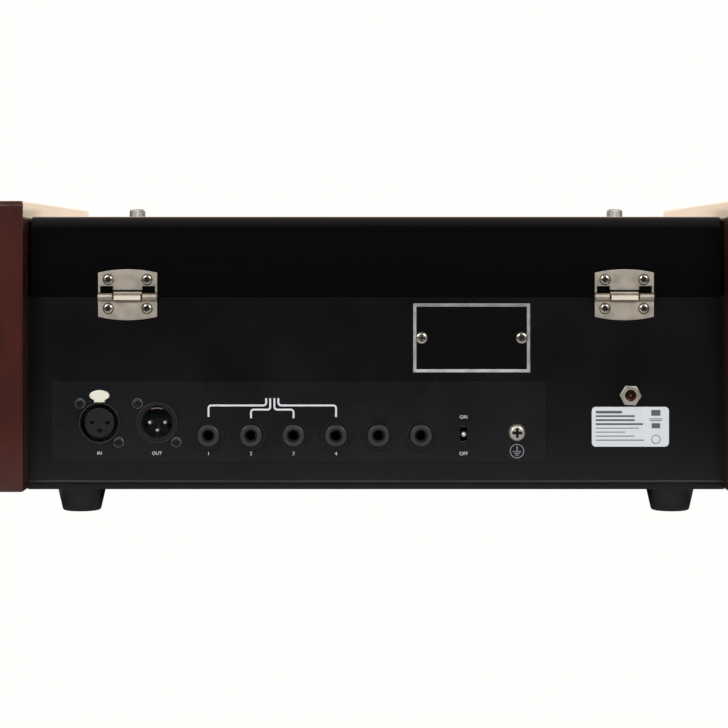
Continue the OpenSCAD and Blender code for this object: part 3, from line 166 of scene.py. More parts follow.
class Tree:
    """A node tree being built."""

    def __init__(self, tree: bpy.types.NodeTree) -> None:
        """Empties the tree."""
        self.tree = tree
        self.tree.nodes.clear()

    def node(
        self,
        kind: str,
        settings: Mapping[str, object] | None = None,
        sockets: Mapping[int | str, object] | None = None,
        out: int | str = 0,
    ) -> Value:
        """Adds a node.

        Args:
            kind: The node's type.
            settings: Its properties; a ramp's "stops" are (position, colour) pairs.
            sockets: The values or links of its inputs.
            out: Which output is wanted.

        Returns:
            That output.
        """
        made = self.tree.nodes.new(kind)
        for name, value in (settings or {}).items():
            if name == "stops":
                self._stops(made.color_ramp, value)
            else:
                setattr(made, name, value)
        for key, value in (sockets or {}).items():
            self.plug(made.inputs[key], value)
        return Value(self, made.outputs[out])

    @staticmethod
    def _stops(ramp: bpy.types.ColorRamp, stops: Sequence[tuple[float, Colour]]) -> None:
        """Sets a ramp's stops."""
        while len(ramp.elements) < len(stops):
            ramp.elements.new(1.0)
        for element, (position, colour) in zip(ramp.elements, stops):
            element.position = position
            element.color = colour

    def plug(self, socket: bpy.types.NodeSocket, value: object) -> None:
        """Links a value into a socket, or sets the socket to a constant."""
        if isinstance(value, Value):
            self.tree.links.new(value.socket, socket)
        else:
            socket.default_value = value

    def mix(self, first: object, second: object, factor: Number) -> Value:
        """Blends two colours.

        Args:
            first, second: The colours at factor 0 and 1.
            factor: The share of the second.

        Returns:
            The blended colour.
        """
        return self.node("ShaderNodeMix", {"data_type": "RGBA"}, {0: factor, 6: first, 7: second}, out=2)


class Paint(Tree):
    """A material around one Principled shader, with patterns on Object coordinates."""

    def __init__(self, name: str) -> None:
        """Starts the material."""
        self.material = bpy.data.materials.new(name)
        self.material.use_nodes = True
        super().__init__(self.material.node_tree)
        self.shader = self.tree.nodes.new("ShaderNodeBsdfPrincipled")
        output = self.tree.nodes.new("ShaderNodeOutputMaterial")
        self.tree.links.new(self.shader.outputs[0], output.inputs["Surface"])
        self.place = self.node("ShaderNodeTexCoord", out="Object")

    def noise(
        self,
        size_mm: float,
        stretch: Point3 = (1.0, 1.0, 1.0),
        detail: float = 3.0,
        shift: float = 0.0,
    ) -> Value:
        """Adds a noise pattern.

        Args:
            size_mm: Size of its blotches.
            stretch: How much longer the blotches are along X, Y and Z.
            detail: How many finer layers it has.
            shift: Moves the pattern, so that two of them differ.

        Returns:
            The noise, from 0 to 1.
        """
        scale = tuple(1 / part for part in stretch)
        moved = self.node(
            "ShaderNodeMapping",
            sockets={"Vector": self.place, "Location": (shift, shift, shift), "Scale": scale},
        )
        return self.node(
            "ShaderNodeTexNoise",
            sockets={"Vector": moved, "Scale": 1 / (size_mm * MM), "Detail": detail},
        )

    def span(self, value: Value, low: float, high: float, to_low: float, to_high: float) -> Value:
        """Maps a value from one span to another, with its ends held."""
        return self.node(
            "ShaderNodeMapRange",
            {"clamp": True},
            {"Value": value, "From Min": low, "From Max": high, "To Min": to_low, "To Max": to_high},
        )

    def bump(self, height: Value, depth_mm: float, strength: float = 1.0) -> Value:
        """Turns a height into a surface normal."""
        return self.node(
            "ShaderNodeBump",
            sockets={"Strength": strength, "Distance": depth_mm * MM, "Height": height},
        )

    def shade(self, **sockets: object) -> None:
        """Sets the shader's sockets, named with underscores for spaces."""
        for name, value in sockets.items():
            self.plug(self.shader.inputs[name.replace("_", " ")], value)


# ---- finishes ----


@dataclass(frozen=True)
class Finish:
    """A surface finish of the unit."""

    name: str

    def material(self) -> bpy.types.Material:
        """Returns the material of this finish, made at its first use."""
        name = f"look_{self.name}"
        made = bpy.data.materials.get(name)
        if made is None:
            paint = Paint(name)
            self.paint(paint)
            made = paint.material
        return made

    def paint(self, paint: Paint) -> None:
        """Builds the nodes of the finish."""
        raise NotImplementedError


@dataclass(frozen=True)
class StainedWood(Finish):
    """Stained wood under clear lacquer, with its grain along Y."""

    light: Colour = srgb(78, 31, 23)
    dark: Colour = srgb(44, 18, 13)
    pore: Colour = srgb(30, 12, 9)
    sheen: float = 0.4

    def paint(self, paint: Paint) -> None:
        """Builds bands of growth, fine fibres and dark pores, all along the grain."""
        bands = paint.noise(26, stretch=(0.8, 14, 2.2), detail=4)
        fibres = paint.noise(1.6, stretch=(0.7, 26, 1.4), detail=5, shift=3.1)
        pores = paint.noise(0.55, stretch=(0.8, 18, 1.0), detail=2, shift=7.7)
        cloud = paint.noise(45, stretch=(1, 1.6, 1.4), detail=2, shift=1.7)
        tone = paint.span(bands * 0.5 + fibres * 0.25 + cloud * 0.25, 0.36, 0.64, 0.0, 1.0)
        body = paint.mix(self.dark, self.light, tone)
        pits = paint.span(pores, 0.28, 0.42, 0.08, 0.0)
        paint.shade(
            Base_Color=paint.mix(body, self.pore, pits),
            Roughness=paint.span(fibres, 0.3, 0.7, self.sheen, self.sheen + 0.1),
            Specular_IOR_Level=0.15,
            Coat_Weight=1.0,
            Coat_Roughness=0.13,
            Normal=paint.bump(paint.noise(18, stretch=(1, 3, 1), detail=1, shift=9.3), 0.03),
        )


@dataclass(frozen=True)
class Enamel(Finish):
    """Sprayed paint on sheet metal, with the fine grain of powder coat."""

    colour: Colour
    roughness: float = 0.45
    grain_mm: float = 0.5
    depth_mm: float = 0.012

    def paint(self, paint: Paint) -> None:
        """Builds the powder grain, and a faint cloudiness in tone and gloss."""
        grain = paint.noise(self.grain_mm, detail=2)
        cloud = paint.noise(38, detail=3, shift=2.9)
        paint.shade(
            Base_Color=paint.mix(toned(self.colour, 0.8), toned(self.colour, 1.2), cloud * 0.6 + grain * 0.4),
            Roughness=paint.span(cloud, 0.3, 0.7, self.roughness - 0.03, self.roughness + 0.05),
            Normal=paint.bump(grain, self.depth_mm),
        )


@dataclass(frozen=True)
class PolishedBlack(Finish):
    """Polished black plastic, with faint wiping marks and a little dust."""

    colour: Colour = srgb(9, 9, 9)
    roughness: float = 0.05
    dust: float = 0.35

    def paint(self, paint: Paint) -> None:
        """Builds the wiping marks in the gloss, and specks of dust."""
        wipes = paint.noise(7, stretch=(9, 4, 1), detail=4)
        specks = paint.span(paint.noise(0.7, detail=1, shift=5.5), 0.76, 0.80, 0.0, self.dust)
        paint.shade(
            Base_Color=paint.mix(self.colour, srgb(70, 70, 68), specks),
            Roughness=paint.span(wipes, 0.4, 0.75, self.roughness, self.roughness + 0.06),
            Normal=paint.bump(paint.noise(30, stretch=(2, 2, 1), detail=1, shift=1.2), 0.02),
        )


@dataclass(frozen=True)
class Plate(Finish):
    """Plated or bare metal, brushed along one direction or plain."""

    colour: Colour
    roughness: float = 0.3
    brushed: Point3 = (1.0, 1.0, 1.0)
    marks_mm: float = 0.25

    def paint(self, paint: Paint) -> None:
        """Builds the brush marks, and smudges that dull the metal here and there."""
        marks = paint.noise(self.marks_mm, stretch=self.brushed, detail=2)
        smudge = paint.noise(6, detail=3, shift=4.2)
        clean, gloss = paint.span(smudge, 0.35, 0.6, 0.0, 1.0), marks * 0.5 + smudge * 0.5
        paint.shade(
            Base_Color=paint.mix(toned(self.colour, 0.86), self.colour, clean),
            Metallic=1.0,
            Roughness=paint.span(gloss, 0.35, 0.65, self.roughness - 0.05, self.roughness + 0.07),
            Normal=paint.bump(marks, 0.004),
        )


@dataclass(frozen=True)
class Moulding(Finish):
    """Moulded plastic or rubber with a spark-eroded texture."""

    colour: Colour
    roughness: float = 0.45
    grain_mm: float = 0.35
    depth_mm: float = 0.015
    wear: float = 0.3

    def paint(self, paint: Paint) -> None:
        """Builds the moulded texture and the worn, lighter patches on it."""
        grain = paint.noise(self.grain_mm, detail=3)
        worn = paint.noise(9, detail=4, shift=6.4)
        lighter = toned(self.colour, 1 + self.wear, 0.002)
        paint.shade(
            Base_Color=paint.mix(self.colour, lighter, paint.span(worn, 0.45, 0.75, 0.0, 1.0)),
            Roughness=paint.span(worn, 0.3, 0.7, self.roughness + 0.04, self.roughness - 0.05),
            Normal=paint.bump(grain, self.depth_mm),
        )


@dataclass(frozen=True)
class Ink(Finish):
    """Screen-printed ink, a little thin in places."""

    colour: Colour = srgb(226, 227, 230)

    def paint(self, paint: Paint) -> None:
        """Builds the ink's thin places."""
        thin = paint.noise(0.5, detail=2)
        paint.shade(
            Base_Color=paint.mix(toned(self.colour, 0.8), self.colour, paint.span(thin, 0.3, 0.5, 0.0, 1.0)),
            Roughness=0.55,
        )


@dataclass(frozen=True)
class ClearSheet(Finish):
    """Clear acrylic sheet with light scuffs."""

    alpha: float = 0.16
    tint: Colour = srgb(200, 208, 212)

    def paint(self, paint: Paint) -> None:
        """Builds the scuffs, which are a little less clear than the sheet."""
        scuffs = paint.noise(1.1, stretch=(6, 2, 1), detail=4)
        paint.shade(
            Base_Color=self.tint,
            Roughness=paint.span(scuffs, 0.45, 0.8, 0.03, 0.16),
            Alpha=paint.span(scuffs, 0.5, 0.8, self.alpha, self.alpha + 0.1),
        )


@dataclass(frozen=True)
class LampLens(Finish):
    """Coloured lens with a weak glow behind it."""

    colour: Colour
    glow: float = 0.25

    def paint(self, paint: Paint) -> None:
        """Builds a mottled glow."""
        mottle = paint.noise(1.5, detail=1)
        tone = paint.mix(toned(self.colour, 0.6), self.colour, mottle)
        paint.shade(Base_Color=tone, Emission_Color=tone, Emission_Strength=self.glow, Roughness=0.12)


@dataclass(frozen=True)
class SolderMask(Finish):
    """Lacquered circuit board with copper tracks under the lacquer."""

    colour: Colour = srgb(20, 84, 44)
    track: Colour = srgb(34, 118, 62)

    def paint(self, paint: Paint) -> None:
        """Builds tracks that run both ways, a little raised."""
        across = paint.noise(2.4, stretch=(14, 1, 1), detail=0) > 0.55
        along = paint.noise(2.4, stretch=(1, 14, 1), detail=0, shift=3.3) > 0.6
        tracks = paint.span(across + along, 0.0, 1.0, 0.0, 1.0)
        paint.shade(
            Base_Color=paint.mix(self.colour, self.track, tracks),
            Roughness=0.32,
            Normal=paint.bump(tracks, 0.05),
        )


class Finishes:
    """The finishes of the unit, by the piece that wears them."""

    wood = StainedWood("stained_cheek_wood")
    case = Enamel("black_case_enamel", srgb(13, 13, 13), roughness=0.22)
    # Lighter than the case: a painted highlight along the rolled edge of the black rear sheet.
    bend = Enamel("rolled_edge_painted_highlight", srgb(43, 43, 42), roughness=0.3)
    front = Enamel("front_panel_enamel", srgb(15, 15, 16), roughness=0.26)
    deck = Enamel("deck_enamel", srgb(52, 54, 57), roughness=0.5, grain_mm=0.9, depth_mm=0.03)
    socket_plate = Enamel("socket_plate_enamel", srgb(17, 17, 22), 0.265, grain_mm=0.35, depth_mm=0.006)
    lid = PolishedBlack("polished_lid")
    name_face = PolishedBlack("polished_name_face", srgb(15, 15, 15), roughness=0.08, dust=0.1)
    nickel = Plate("satin_nickel", srgb(214, 203, 188), roughness=0.48, brushed=(6, 1, 1))
    bright_nickel = Plate("bright_nickel", srgb(226, 218, 205), roughness=0.22)
    chrome = Plate("polished_chrome", srgb(226, 226, 224), roughness=0.07, marks_mm=0.6)
    frame = Plate("brushed_frame", srgb(222, 222, 222), roughness=0.42, brushed=(14, 1, 1))
    steel = Plate("turned_steel", srgb(176, 176, 176), roughness=0.26, brushed=(1, 1, 8))
    zinc = Plate("plated_steel", srgb(160, 160, 158), roughness=0.4)
    aluminium = Plate("satin_aluminium", srgb(186, 187, 188), roughness=0.36, brushed=(10, 1, 1))
    cap = Plate("spun_cap", srgb(190, 190, 190), roughness=0.3, brushed=(8, 1, 1), marks_mm=0.2)
    silver = Plate("silver_plate", srgb(236, 230, 218), roughness=0.38)
    lid_knob = Plate("satin_knob_plate", srgb(238, 232, 224), roughness=0.5)
    brass = Plate("turned_brass", srgb(196, 164, 92), roughness=0.28)
    copper = Plate("copper_spring", srgb(206, 168, 146), roughness=0.45)
    # Copper darkened to stand for the shade inside the supply socket: copper with painted shade.
    copper_dark = Plate("copper_with_painted_shade", srgb(64, 38, 28), roughness=0.34)
    black_oxide = Plate("black_oxide_screw", srgb(62, 62, 64), roughness=0.34)
    rubber = Moulding("foot_rubber", srgb(26, 26, 27), roughness=0.3, grain_mm=0.6, depth_mm=0.003)
    lead = Moulding("lead_sleeve", srgb(150, 30, 26), roughness=0.5)
    belt = Moulding("belt_rubber", srgb(18, 18, 18), roughness=0.6)
    socket = Moulding("socket_plastic", srgb(24, 25, 26), roughness=0.28, depth_mm=0.003)
    insert = Moulding("insert_plastic", srgb(27, 30, 31), roughness=0.3, depth_mm=0.003)
    nut = Moulding("nut_plastic", srgb(17, 17, 20), roughness=0.24, depth_mm=0.002, wear=0.1)
    sleeve = Moulding("sleeve_plastic", srgb(52, 52, 54), roughness=0.3, depth_mm=0.003)
    # Pale ring on the black screws' rims: a painted highlight.
    worn = Moulding("rim_painted_highlight", srgb(150, 152, 156), roughness=0.4, depth_mm=0.002, wear=0.1)
    # Near-black standing for shade: painted shadow in bores, gaps, slots, behind the switch slot and in screw
    # heads.
    void = Moulding("painted_shadow_black", srgb(3, 3, 3), roughness=0.9)
    latch = Moulding("cream_latch", srgb(238, 235, 217), roughness=0.3, depth_mm=0.004, wear=0.03)
    knob = Moulding("knob_plastic", srgb(20, 20, 21), roughness=0.34, depth_mm=0.006)
    tank = Moulding("tank_plastic", srgb(22, 22, 24), roughness=0.5, grain_mm=0.7, depth_mm=0.03)
    dial = Moulding("dial_card", srgb(236, 226, 196), roughness=0.6, depth_mm=0.002, wear=0.02)
    meter = Moulding("meter_plastic", srgb(14, 14, 15), roughness=0.2, depth_mm=0.002)
    tape = Moulding("tape_oxide", srgb(62, 37, 26), roughness=0.28, grain_mm=3.0, depth_mm=0.004)
    label = Moulding("label_vinyl", srgb(222, 226, 229), 0.5, grain_mm=0.8, depth_mm=0.003, wear=0.02)
    needle = Enamel("needle_enamel", srgb(170, 34, 24), roughness=0.4, depth_mm=0.001)
    white = Ink("white_print")
    grey = Ink("grey_print", srgb(140, 144, 148))
    black = Ink("black_print", srgb(20, 20, 20))
    rule = Ink("label_print", srgb(92, 96, 100))
    red = Ink("red_print", srgb(176, 30, 24))
    clear = ClearSheet("clear_acrylic")
    lamp = LampLens("red_lens", srgb(200, 24, 14))
    board = SolderMask("circuit_lacquer")


# ---- shapes ----


class Face(Enum):
    """A side of the unit; the value is the turn that points a piece's Z out of it, with Y up."""

    REAR = (90.0, 0.0, 0.0)
    FRONT = (90.0, 0.0, 180.0)
    TOP = (0.0, 0.0, 0.0)
    UNDER = (180.0, 0.0, 0.0)

    def at(self, x: float, y: float, z: float, spin: float = 0.0) -> Matrix:
        """Gives the place of a piece on this side.

        Args:
            x, y, z: Where the piece's origin goes, in millimetres.
            spin: Turn of the piece about its own Z, in degrees.

        Returns:
            The placing matrix, in millimetres.
        """
        turn = Euler([math.radians(angle) for angle in self.value], "XYZ").to_matrix().to_4x4()
        return Matrix.Translation((x, y, z)) @ turn @ Matrix.Rotation(math.radians(spin), 4, "Z")


@dataclass(frozen=True)
class Room:
    """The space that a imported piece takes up, in millimetres."""

    low: Vector
    high: Vector

    @property
    def size(self) -> Vector:
        """Its width, depth and height."""
        return self.high - self.low

    @property
    def centre(self) -> Vector:
        """Its middle."""
        return (self.low + self.high) / 2

    def facing(self, face: Face, y: float) -> Matrix:
        """Gives the place on the rear or the front that lies before its middle, at a depth Y."""
        return face.at(self.centre.x, y, self.centre.z)

    def upright(self, z: float) -> Matrix:
        """Gives the upright place at its middle, at a height Z."""
        return Matrix.Translation((self.centre.x, self.centre.y, z))


class Shape:
    """A closed mesh being modelled, in millimetres."""

    def __init__(self) -> None:
        """Starts an empty mesh."""
        self.bm = bmesh.new()

    @classmethod
    def turned(cls, profile: Sequence[Point2], steps: int = 48) -> Shape:
        """Turns a profile about Z, as on a lathe.

        Args:
            profile: (radius, height) points; it starts and ends on the axis, or comes back to its start.
            steps: Sides of the turned piece.

        Returns:
            The turned shape.
        """
        made = cls()
        verts = [made.bm.verts.new((radius, 0.0, height)) for radius, height in profile]
        edges = [made.bm.edges.new(pair) for pair in zip(verts, verts[1:])]
        bmesh.ops.spin(
            made.bm,
            geom=verts + edges,
            cent=(0, 0, 0),
            axis=(0, 0, 1),
            angle=math.tau,
            steps=steps,
            use_merge=True,
        )
        return made.welded()

    @classmethod
    def ring(cls, inner: float, outer: float, low: float, high: float, steps: int = 48) -> Shape:
        """Turns a flat ring between two radii and two heights."""
        return cls.turned([(outer, low), (outer, high), (inner, high), (inner, low), (outer, low)], steps)

    @classmethod
    def drawn(cls, rings: Sequence[Sequence[Vector]]) -> Shape:
        """Extrudes a closed ring of points through further rings, and closes both ends.

        Args:
            rings: The rings in order along the piece, each with as many points.

        Returns:
            The drawn shape.
        """
        made = cls()
        end = made.bm.faces.new([made.bm.verts.new(place) for place in rings[0]])
        for index, ring in enumerate(rings[1:]):
            grown = bmesh.ops.extrude_face_region(made.bm, geom=[end])["geom"]
            if index:
                made.bm.faces.remove(end)
            end = next(part for part in grown if isinstance(part, bmesh.types.BMFace))
            for vert, place in zip(end.verts, ring):
                vert.co = place
        return made.welded()

    @classmethod
    def block(cls, size: Sequence[float], centre: Sequence[float] = (0, 0, 0)) -> Shape:
        """Makes a block of a size about a centre."""
        made = cls()
        place = Matrix.Translation(centre) @ Matrix.Diagonal((*size, 1))
        bmesh.ops.create_cube(made.bm, size=1, matrix=place)
        return made

    @classmethod
    def words(cls, text: str, height: float, thickness: float = INK_MM) -> Shape:
        """Makes flat lettering, centred on the origin.

        Args:
            text: Numbers or a short plain word.
            height: Height of its capitals.
            thickness: How far the ink stands up.

        Returns:
            The lettering, standing on Z = 0.
        """
        curve = bpy.data.curves.new("lettering", "FONT")
        curve.body = text
        curve.size = height / CAPITAL_SHARE
        curve.extrude = thickness / 2
        curve.resolution_u = 3
        holder = bpy.data.objects.new("lettering", curve)
        bpy.context.scene.collection.objects.link(holder)
        graph = bpy.context.evaluated_depsgraph_get()
        mesh = bpy.data.meshes.new_from_object(holder.evaluated_get(graph))
        made = cls()
        made.bm.from_mesh(mesh)
        bpy.data.objects.remove(holder)
        bpy.data.curves.remove(curve)
        bpy.data.meshes.remove(mesh)
        low, high = made.corners()
        middle = (low + high) / 2
        return made.moved(Matrix.Translation((-middle.x, -middle.y, -low.z)))

    def corners(self) -> tuple[Vector, Vector]:
        """Returns the lowest and highest corner."""
        places = [vert.co for vert in self.bm.verts]
        low = Vector(min(place[axis] for place in places) for axis in range(3))
        high = Vector(max(place[axis] for place in places) for axis in range(3))
        return low, high

    def welded(self) -> Shape:
        """Merges doubles and turns the faces outwards."""
        bmesh.ops.remove_doubles(self.bm, verts=self.bm.verts, dist=WELD_MM)
        bmesh.ops.recalc_face_normals(self.bm, faces=self.bm.faces)
        return self

    def moved(self, place: Matrix) -> Shape:
        """Moves or turns the shape."""
        bmesh.ops.transform(self.bm, matrix=place, verts=self.bm.verts)
        return self

    def lying(self) -> Shape:
        """Turns a plate that is raised along Z so that it runs along X, with its X and Y as Y and Z."""
        return self.moved(Matrix(((0, 0, 1, 0), (1, 0, 0, 0), (0, 1, 0, 0), (0, 0, 0, 1))))

    def bevelled(
        self,
        width: float,
        segments: int = 2,
        angle: float = 30.0,
        wanted: Callable[[bmesh.types.BMEdge], bool] = lambda edge: True,
    ) -> Shape:
        """Rounds the sharp edges.

        Args:
            width: Size of the rounding.
            segments: Steps across it.
            angle: Edges that turn by more than this, in degrees, are sharp.
            wanted: Picks which of the sharp edges are rounded.

        Returns:
            This shape.
        """
        limit = math.radians(angle)
        edges = [e for e in self.bm.edges if e.is_manifold and e.calc_face_angle(0.0) > limit and wanted(e)]
        bmesh.ops.bevel(
            self.bm,
            geom=edges,
            offset=width,
            segments=segments,
            profile=0.5,
            affect="EDGES",
            clamp_overlap=True,
            material=-1,
        )
        return self

    def weighted(self, extra: float) -> Shape:
        """Thickens flat lettering sideways, like bold print, by moving its rim out."""
        for vert in self.bm.verts:
            push = Vector((0.0, 0.0, 0.0))
            for face in vert.link_faces:
                if abs(face.normal.z) < 0.5:
                    push += face.normal
            if push.length > 0.001:
                vert.co += push.normalized() * extra
        return self

    def with_shape(self, other: Shape, place: Matrix | None = None) -> Shape:
        """Adds another shape to this one, at a place."""
        mesh = bpy.data.meshes.new("part")
        other.bm.to_mesh(mesh)
        if place is not None:
            mesh.transform(place)
        self.bm.from_mesh(mesh)
        bpy.data.meshes.remove(mesh)
        return self

    def copies(self, places: Iterable[Matrix]) -> Shape:
        """Makes one shape that holds this one at each place."""
        made = Shape()
        for place in places:
            made.with_shape(self, place)
        return made

    def mesh(self, name: str, smooth_angle: float) -> bpy.types.Mesh:
        """Writes the shape to a mesh, in millimetres, smooth but for edges sharper than an angle."""
        made = bpy.data.meshes.new(name)
        for face in self.bm.faces:
            face.smooth = True
        self.bm.to_mesh(made)
        self.bm.free()
        made.set_sharp_from_angle(angle=math.radians(smooth_angle))
        return made


class Sketch:
    """Closed lines in a piece's XY plane, from which plates are raised."""

    def __init__(self) -> None:
        """Starts an empty sketch."""
        self.bm = bmesh.new()

    def circle(self, radius: float, x: float = 0.0, y: float = 0.0, steps: int = 48) -> Sketch:
        """Draws a circle."""
        bmesh.ops.create_circle(self.bm, segments=steps, radius=radius, matrix=Matrix.Translation((x, y, 0)))
        return self

    def outline(self, points: Sequence[Point2], corner: float = 0.0, steps: int = 5) -> Sketch:
        """Draws a closed outline.

        Args:
            points: Its corners in order.
            corner: Radius of all its corners.
            steps: Segments of a rounded corner.

        Returns:
            This sketch.
        """
        verts = [self.bm.verts.new((x, y, 0.0)) for x, y in points]
        face = self.bm.faces.new(verts)
        if corner > 0:
            rounded = bmesh.ops.bevel(
                self.bm,
                geom=verts,
                offset=corner,
                segments=steps,
                profile=0.5,
                affect="VERTICES",
                clamp_overlap=True,
                material=-1,
            )
            face = next(f for f in self.bm.faces if set(rounded["verts"]) & set(f.verts))
        bmesh.ops.delete(self.bm, geom=[face], context="FACES_ONLY")
        return self

    def rect(
        self, width: float, height: float, x: float = 0.0, y: float = 0.0, corner: float = 0.0, steps: int = 5
    ) -> Sketch:
        """Draws a rectangle about (x, y), with rounded corners if corner is given."""
        signs = ((-1, -1), (1, -1), (1, 1), (-1, 1))
        return self.outline([(x + s * width / 2, y + t * height / 2) for s, t in signs], corner, steps)

    def raised(self, low: float, high: float, edge: float = 0.0, steps: int = 2) -> Shape:
        """Fills the sketch and raises a plate from it; inner loops are holes.

        Args:
            low, high: Its lower and upper face.
            edge: Rounding of its upper rim.
            steps: Steps of that rounding.

        Returns:
            The plate.
        """
        made = Shape()
        made.bm = self.bm
        bmesh.ops.triangle_fill(made.bm, use_beauty=True, edges=made.bm.edges)
        bmesh.ops.translate(made.bm, vec=(0, 0, low), verts=made.bm.verts)
        raised = bmesh.ops.extrude_face_region(made.bm, geom=made.bm.faces[:], use_keep_orig=True)["geom"]
        verts = [g for g in raised if isinstance(g, bmesh.types.BMVert)]
        top = [g for g in raised if isinstance(g, bmesh.types.BMFace)]
        bmesh.ops.translate(made.bm, vec=(0, 0, high - edge - low), verts=verts)
        bmesh.ops.recalc_face_normals(made.bm, faces=made.bm.faces)
        for step in range(steps if edge > 0 else 0):
            here, there = (math.pi / 2 * part / steps for part in (step, step + 1))
            bmesh.ops.inset_region(
                made.bm,
                faces=top,
                thickness=edge * (math.cos(here) - math.cos(there)),
                depth=edge * (math.sin(there) - math.sin(here)),
                use_even_offset=True,
                use_boundary=True,
            )
        return made


class Stroke:
    """A painted line of one width that runs straight and turns in arcs."""

    def __init__(self, x: float, y: float, heading: float, width: float) -> None:
        """Starts the line.

        Args:
            x, y: Its start.
            heading: Its direction, in degrees from X towards Y.
            width: Its width.
        """
        self.bm = bmesh.new()
        self.heading = math.radians(heading)
        side = Vector((-math.sin(self.heading), math.cos(self.heading), 0)) * width / 2
        ends = [self.bm.verts.new(Vector((x, y, 0)) + sign * side) for sign in (-1, 1)]
        self.end = [self.bm.edges.new(ends), *ends]

    def ahead(self, length: float) -> Stroke:
        """Runs straight on for a length."""
        edge = [g for g in self.end if isinstance(g, bmesh.types.BMEdge)]
        made = bmesh.ops.extrude_edge_only(self.bm, edges=edge)["geom"]
        self.end = [g for g in made if not isinstance(g, bmesh.types.BMFace)]
        step = Vector((math.cos(self.heading), math.sin(self.heading), 0)) * length
        verts = [g for g in self.end if isinstance(g, bmesh.types.BMVert)]
        bmesh.ops.translate(self.bm, vec=step, verts=verts)
        return self

    def turn(self, angle: float, radius: float, steps: int = 6) -> Stroke:
        """Turns left for an angle in degrees, or right if it is negative, about a radius."""
        verts = [g for g in self.end if isinstance(g, bmesh.types.BMVert)]
        middle = (verts[0].co + verts[1].co) / 2
        side = math.copysign(1, angle)
        centre = middle + Vector((-math.sin(self.heading), math.cos(self.heading), 0)) * side * radius
        made = bmesh.ops.spin(
            self.bm,
            geom=self.end,
            cent=centre,
            axis=(0, 0, 1),
            angle=math.radians(angle),
            steps=steps,
        )["geom_last"]
        self.end = [g for g in made if not isinstance(g, bmesh.types.BMFace)]
        self.heading += math.radians(angle)
        return self

    def raised(self, thickness: float) -> Shape:
        """Gives the line its thickness, standing on Z = 0."""
        made = Shape()
        made.bm = self.bm
        bmesh.ops.remove_doubles(made.bm, verts=made.bm.verts, dist=WELD_MM)
        raised = bmesh.ops.extrude_face_region(made.bm, geom=made.bm.faces[:], use_keep_orig=True)["geom"]
        verts = [g for g in raised if isinstance(g, bmesh.types.BMVert)]
        bmesh.ops.translate(made.bm, vec=(0, 0, thickness), verts=verts)
        bmesh.ops.recalc_face_normals(made.bm, faces=made.bm.faces)
        return made


# ---- the unit ----


class Unit:
    """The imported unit: its nodes, and the pieces that are added to them."""

    def __init__(self, frame: dict) -> None:
        """Takes the loaded frame."""
        self.nodes: dict[str, bpy.types.Object] = frame["nodes"]
        self.slots = {row["node"]: row["material_slot"] for row in frame["record"]["subparts"]}

    def room(self, node: str) -> Room:
        """Returns the space of a node."""
        low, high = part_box(node)
        return Room(low / MM, high / MM)

    def rooms(self, node: str) -> list[Room]:
        """Returns the space of each separate solid of a node, from left to right, then from below."""
        bm = bmesh.new()
        bm.from_mesh(self.nodes[node].data)
        bmesh.ops.remove_doubles(bm, verts=bm.verts, dist=WELD_MM * MM)
        waiting = set(bm.verts)
        found = []
        while waiting:
            group, front = set(), [waiting.pop()]
            while front:
                vert = front.pop()
                group.add(vert)
                near = [edge.other_vert(vert) for edge in vert.link_edges]
                fresh = [other for other in near if other in waiting]
                waiting.difference_update(fresh)
                front.extend(fresh)
            places = [vert.co / MM for vert in group]
            low = Vector(min(place[axis] for place in places) for axis in range(3))
            high = Vector(max(place[axis] for place in places) for axis in range(3))
            found.append(Room(low, high))
        bm.free()
        return sorted(found, key=lambda room: tuple(round(room.centre[axis]) for axis in (0, 2, 1)))

    def dress(self, finish: Finish, *nodes: str) -> None:
        """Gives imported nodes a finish."""
        for node in nodes:
            piece = self.nodes[node]
            if not piece.material_slots:
                piece.data.materials.append(finish.material())
            for slot in piece.material_slots:
                slot.material = finish.material()
            LOG.info("dressed %s", node)

    def add(
        self,
        name: str,
        shape: Shape,
        finish: Finish,
        node: str,
        place: Matrix | None = None,
        stands_for: Sequence[str] = (),
        smooth_angle: float = 35.0,
    ) -> bpy.types.Object:
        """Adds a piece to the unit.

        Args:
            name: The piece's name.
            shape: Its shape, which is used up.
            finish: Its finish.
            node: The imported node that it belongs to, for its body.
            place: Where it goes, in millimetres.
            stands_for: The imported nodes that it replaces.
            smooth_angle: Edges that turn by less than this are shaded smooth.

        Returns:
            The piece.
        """
        mesh = shape.mesh(name, smooth_angle)
        mesh.transform(Matrix.Scale(MM, 4) @ (place if place is not None else Matrix()))
        mesh.materials.append(finish.material())
        piece = bpy.data.objects.new(name, mesh)
        bpy.context.scene.collection.objects.link(piece)
        piece.modifiers.new("flat_faces_shaded_flat", "WEIGHTED_NORMAL").keep_sharp = True
        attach(piece, self.nodes[node]["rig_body"])
        if stands_for:
            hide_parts(*stands_for)
        LOG.info("made %s, %d faces", name, len(mesh.polygons))
        return piece

    def remake(
        self,
        name: str,
        shape: Shape,
        finish: Finish,
        node: str,
        place: Matrix | None = None,
        smooth_angle: float = 35.0,
    ) -> bpy.types.Object:
        """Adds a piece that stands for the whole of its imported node; the arguments are those of add."""
        return self.add(name, shape, finish, node, place, (node,), smooth_angle)

    def eased(
        self,
        node: str,
        finish: Finish,
        edge: float = 0.25,
        segments: int = 2,
        angle: float = 30.0,
    ) -> None:
        """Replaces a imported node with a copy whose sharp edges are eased.

        Args:
            node: The node.
            finish: The finish of the copy.
            edge: Size of the easing.
            segments: Steps across it.
            angle: Edges that turn by more than this are eased.
        """
        shape = Shape()
        shape.bm.from_mesh(self.nodes[node].data)
        bmesh.ops.remove_doubles(shape.bm, verts=shape.bm.verts, dist=WELD_MM * MM)
        shape.moved(Matrix.Scale(1 / MM, 4))
        flat = math.radians(FLAT_DEGREES)
        bmesh.ops.dissolve_limit(shape.bm, angle_limit=flat, verts=shape.bm.verts, edges=shape.bm.edges)
        shape.bevelled(edge, segments, angle)
        self.remake(f"{node}_eased", shape, finish, node)


# ---- studio ----


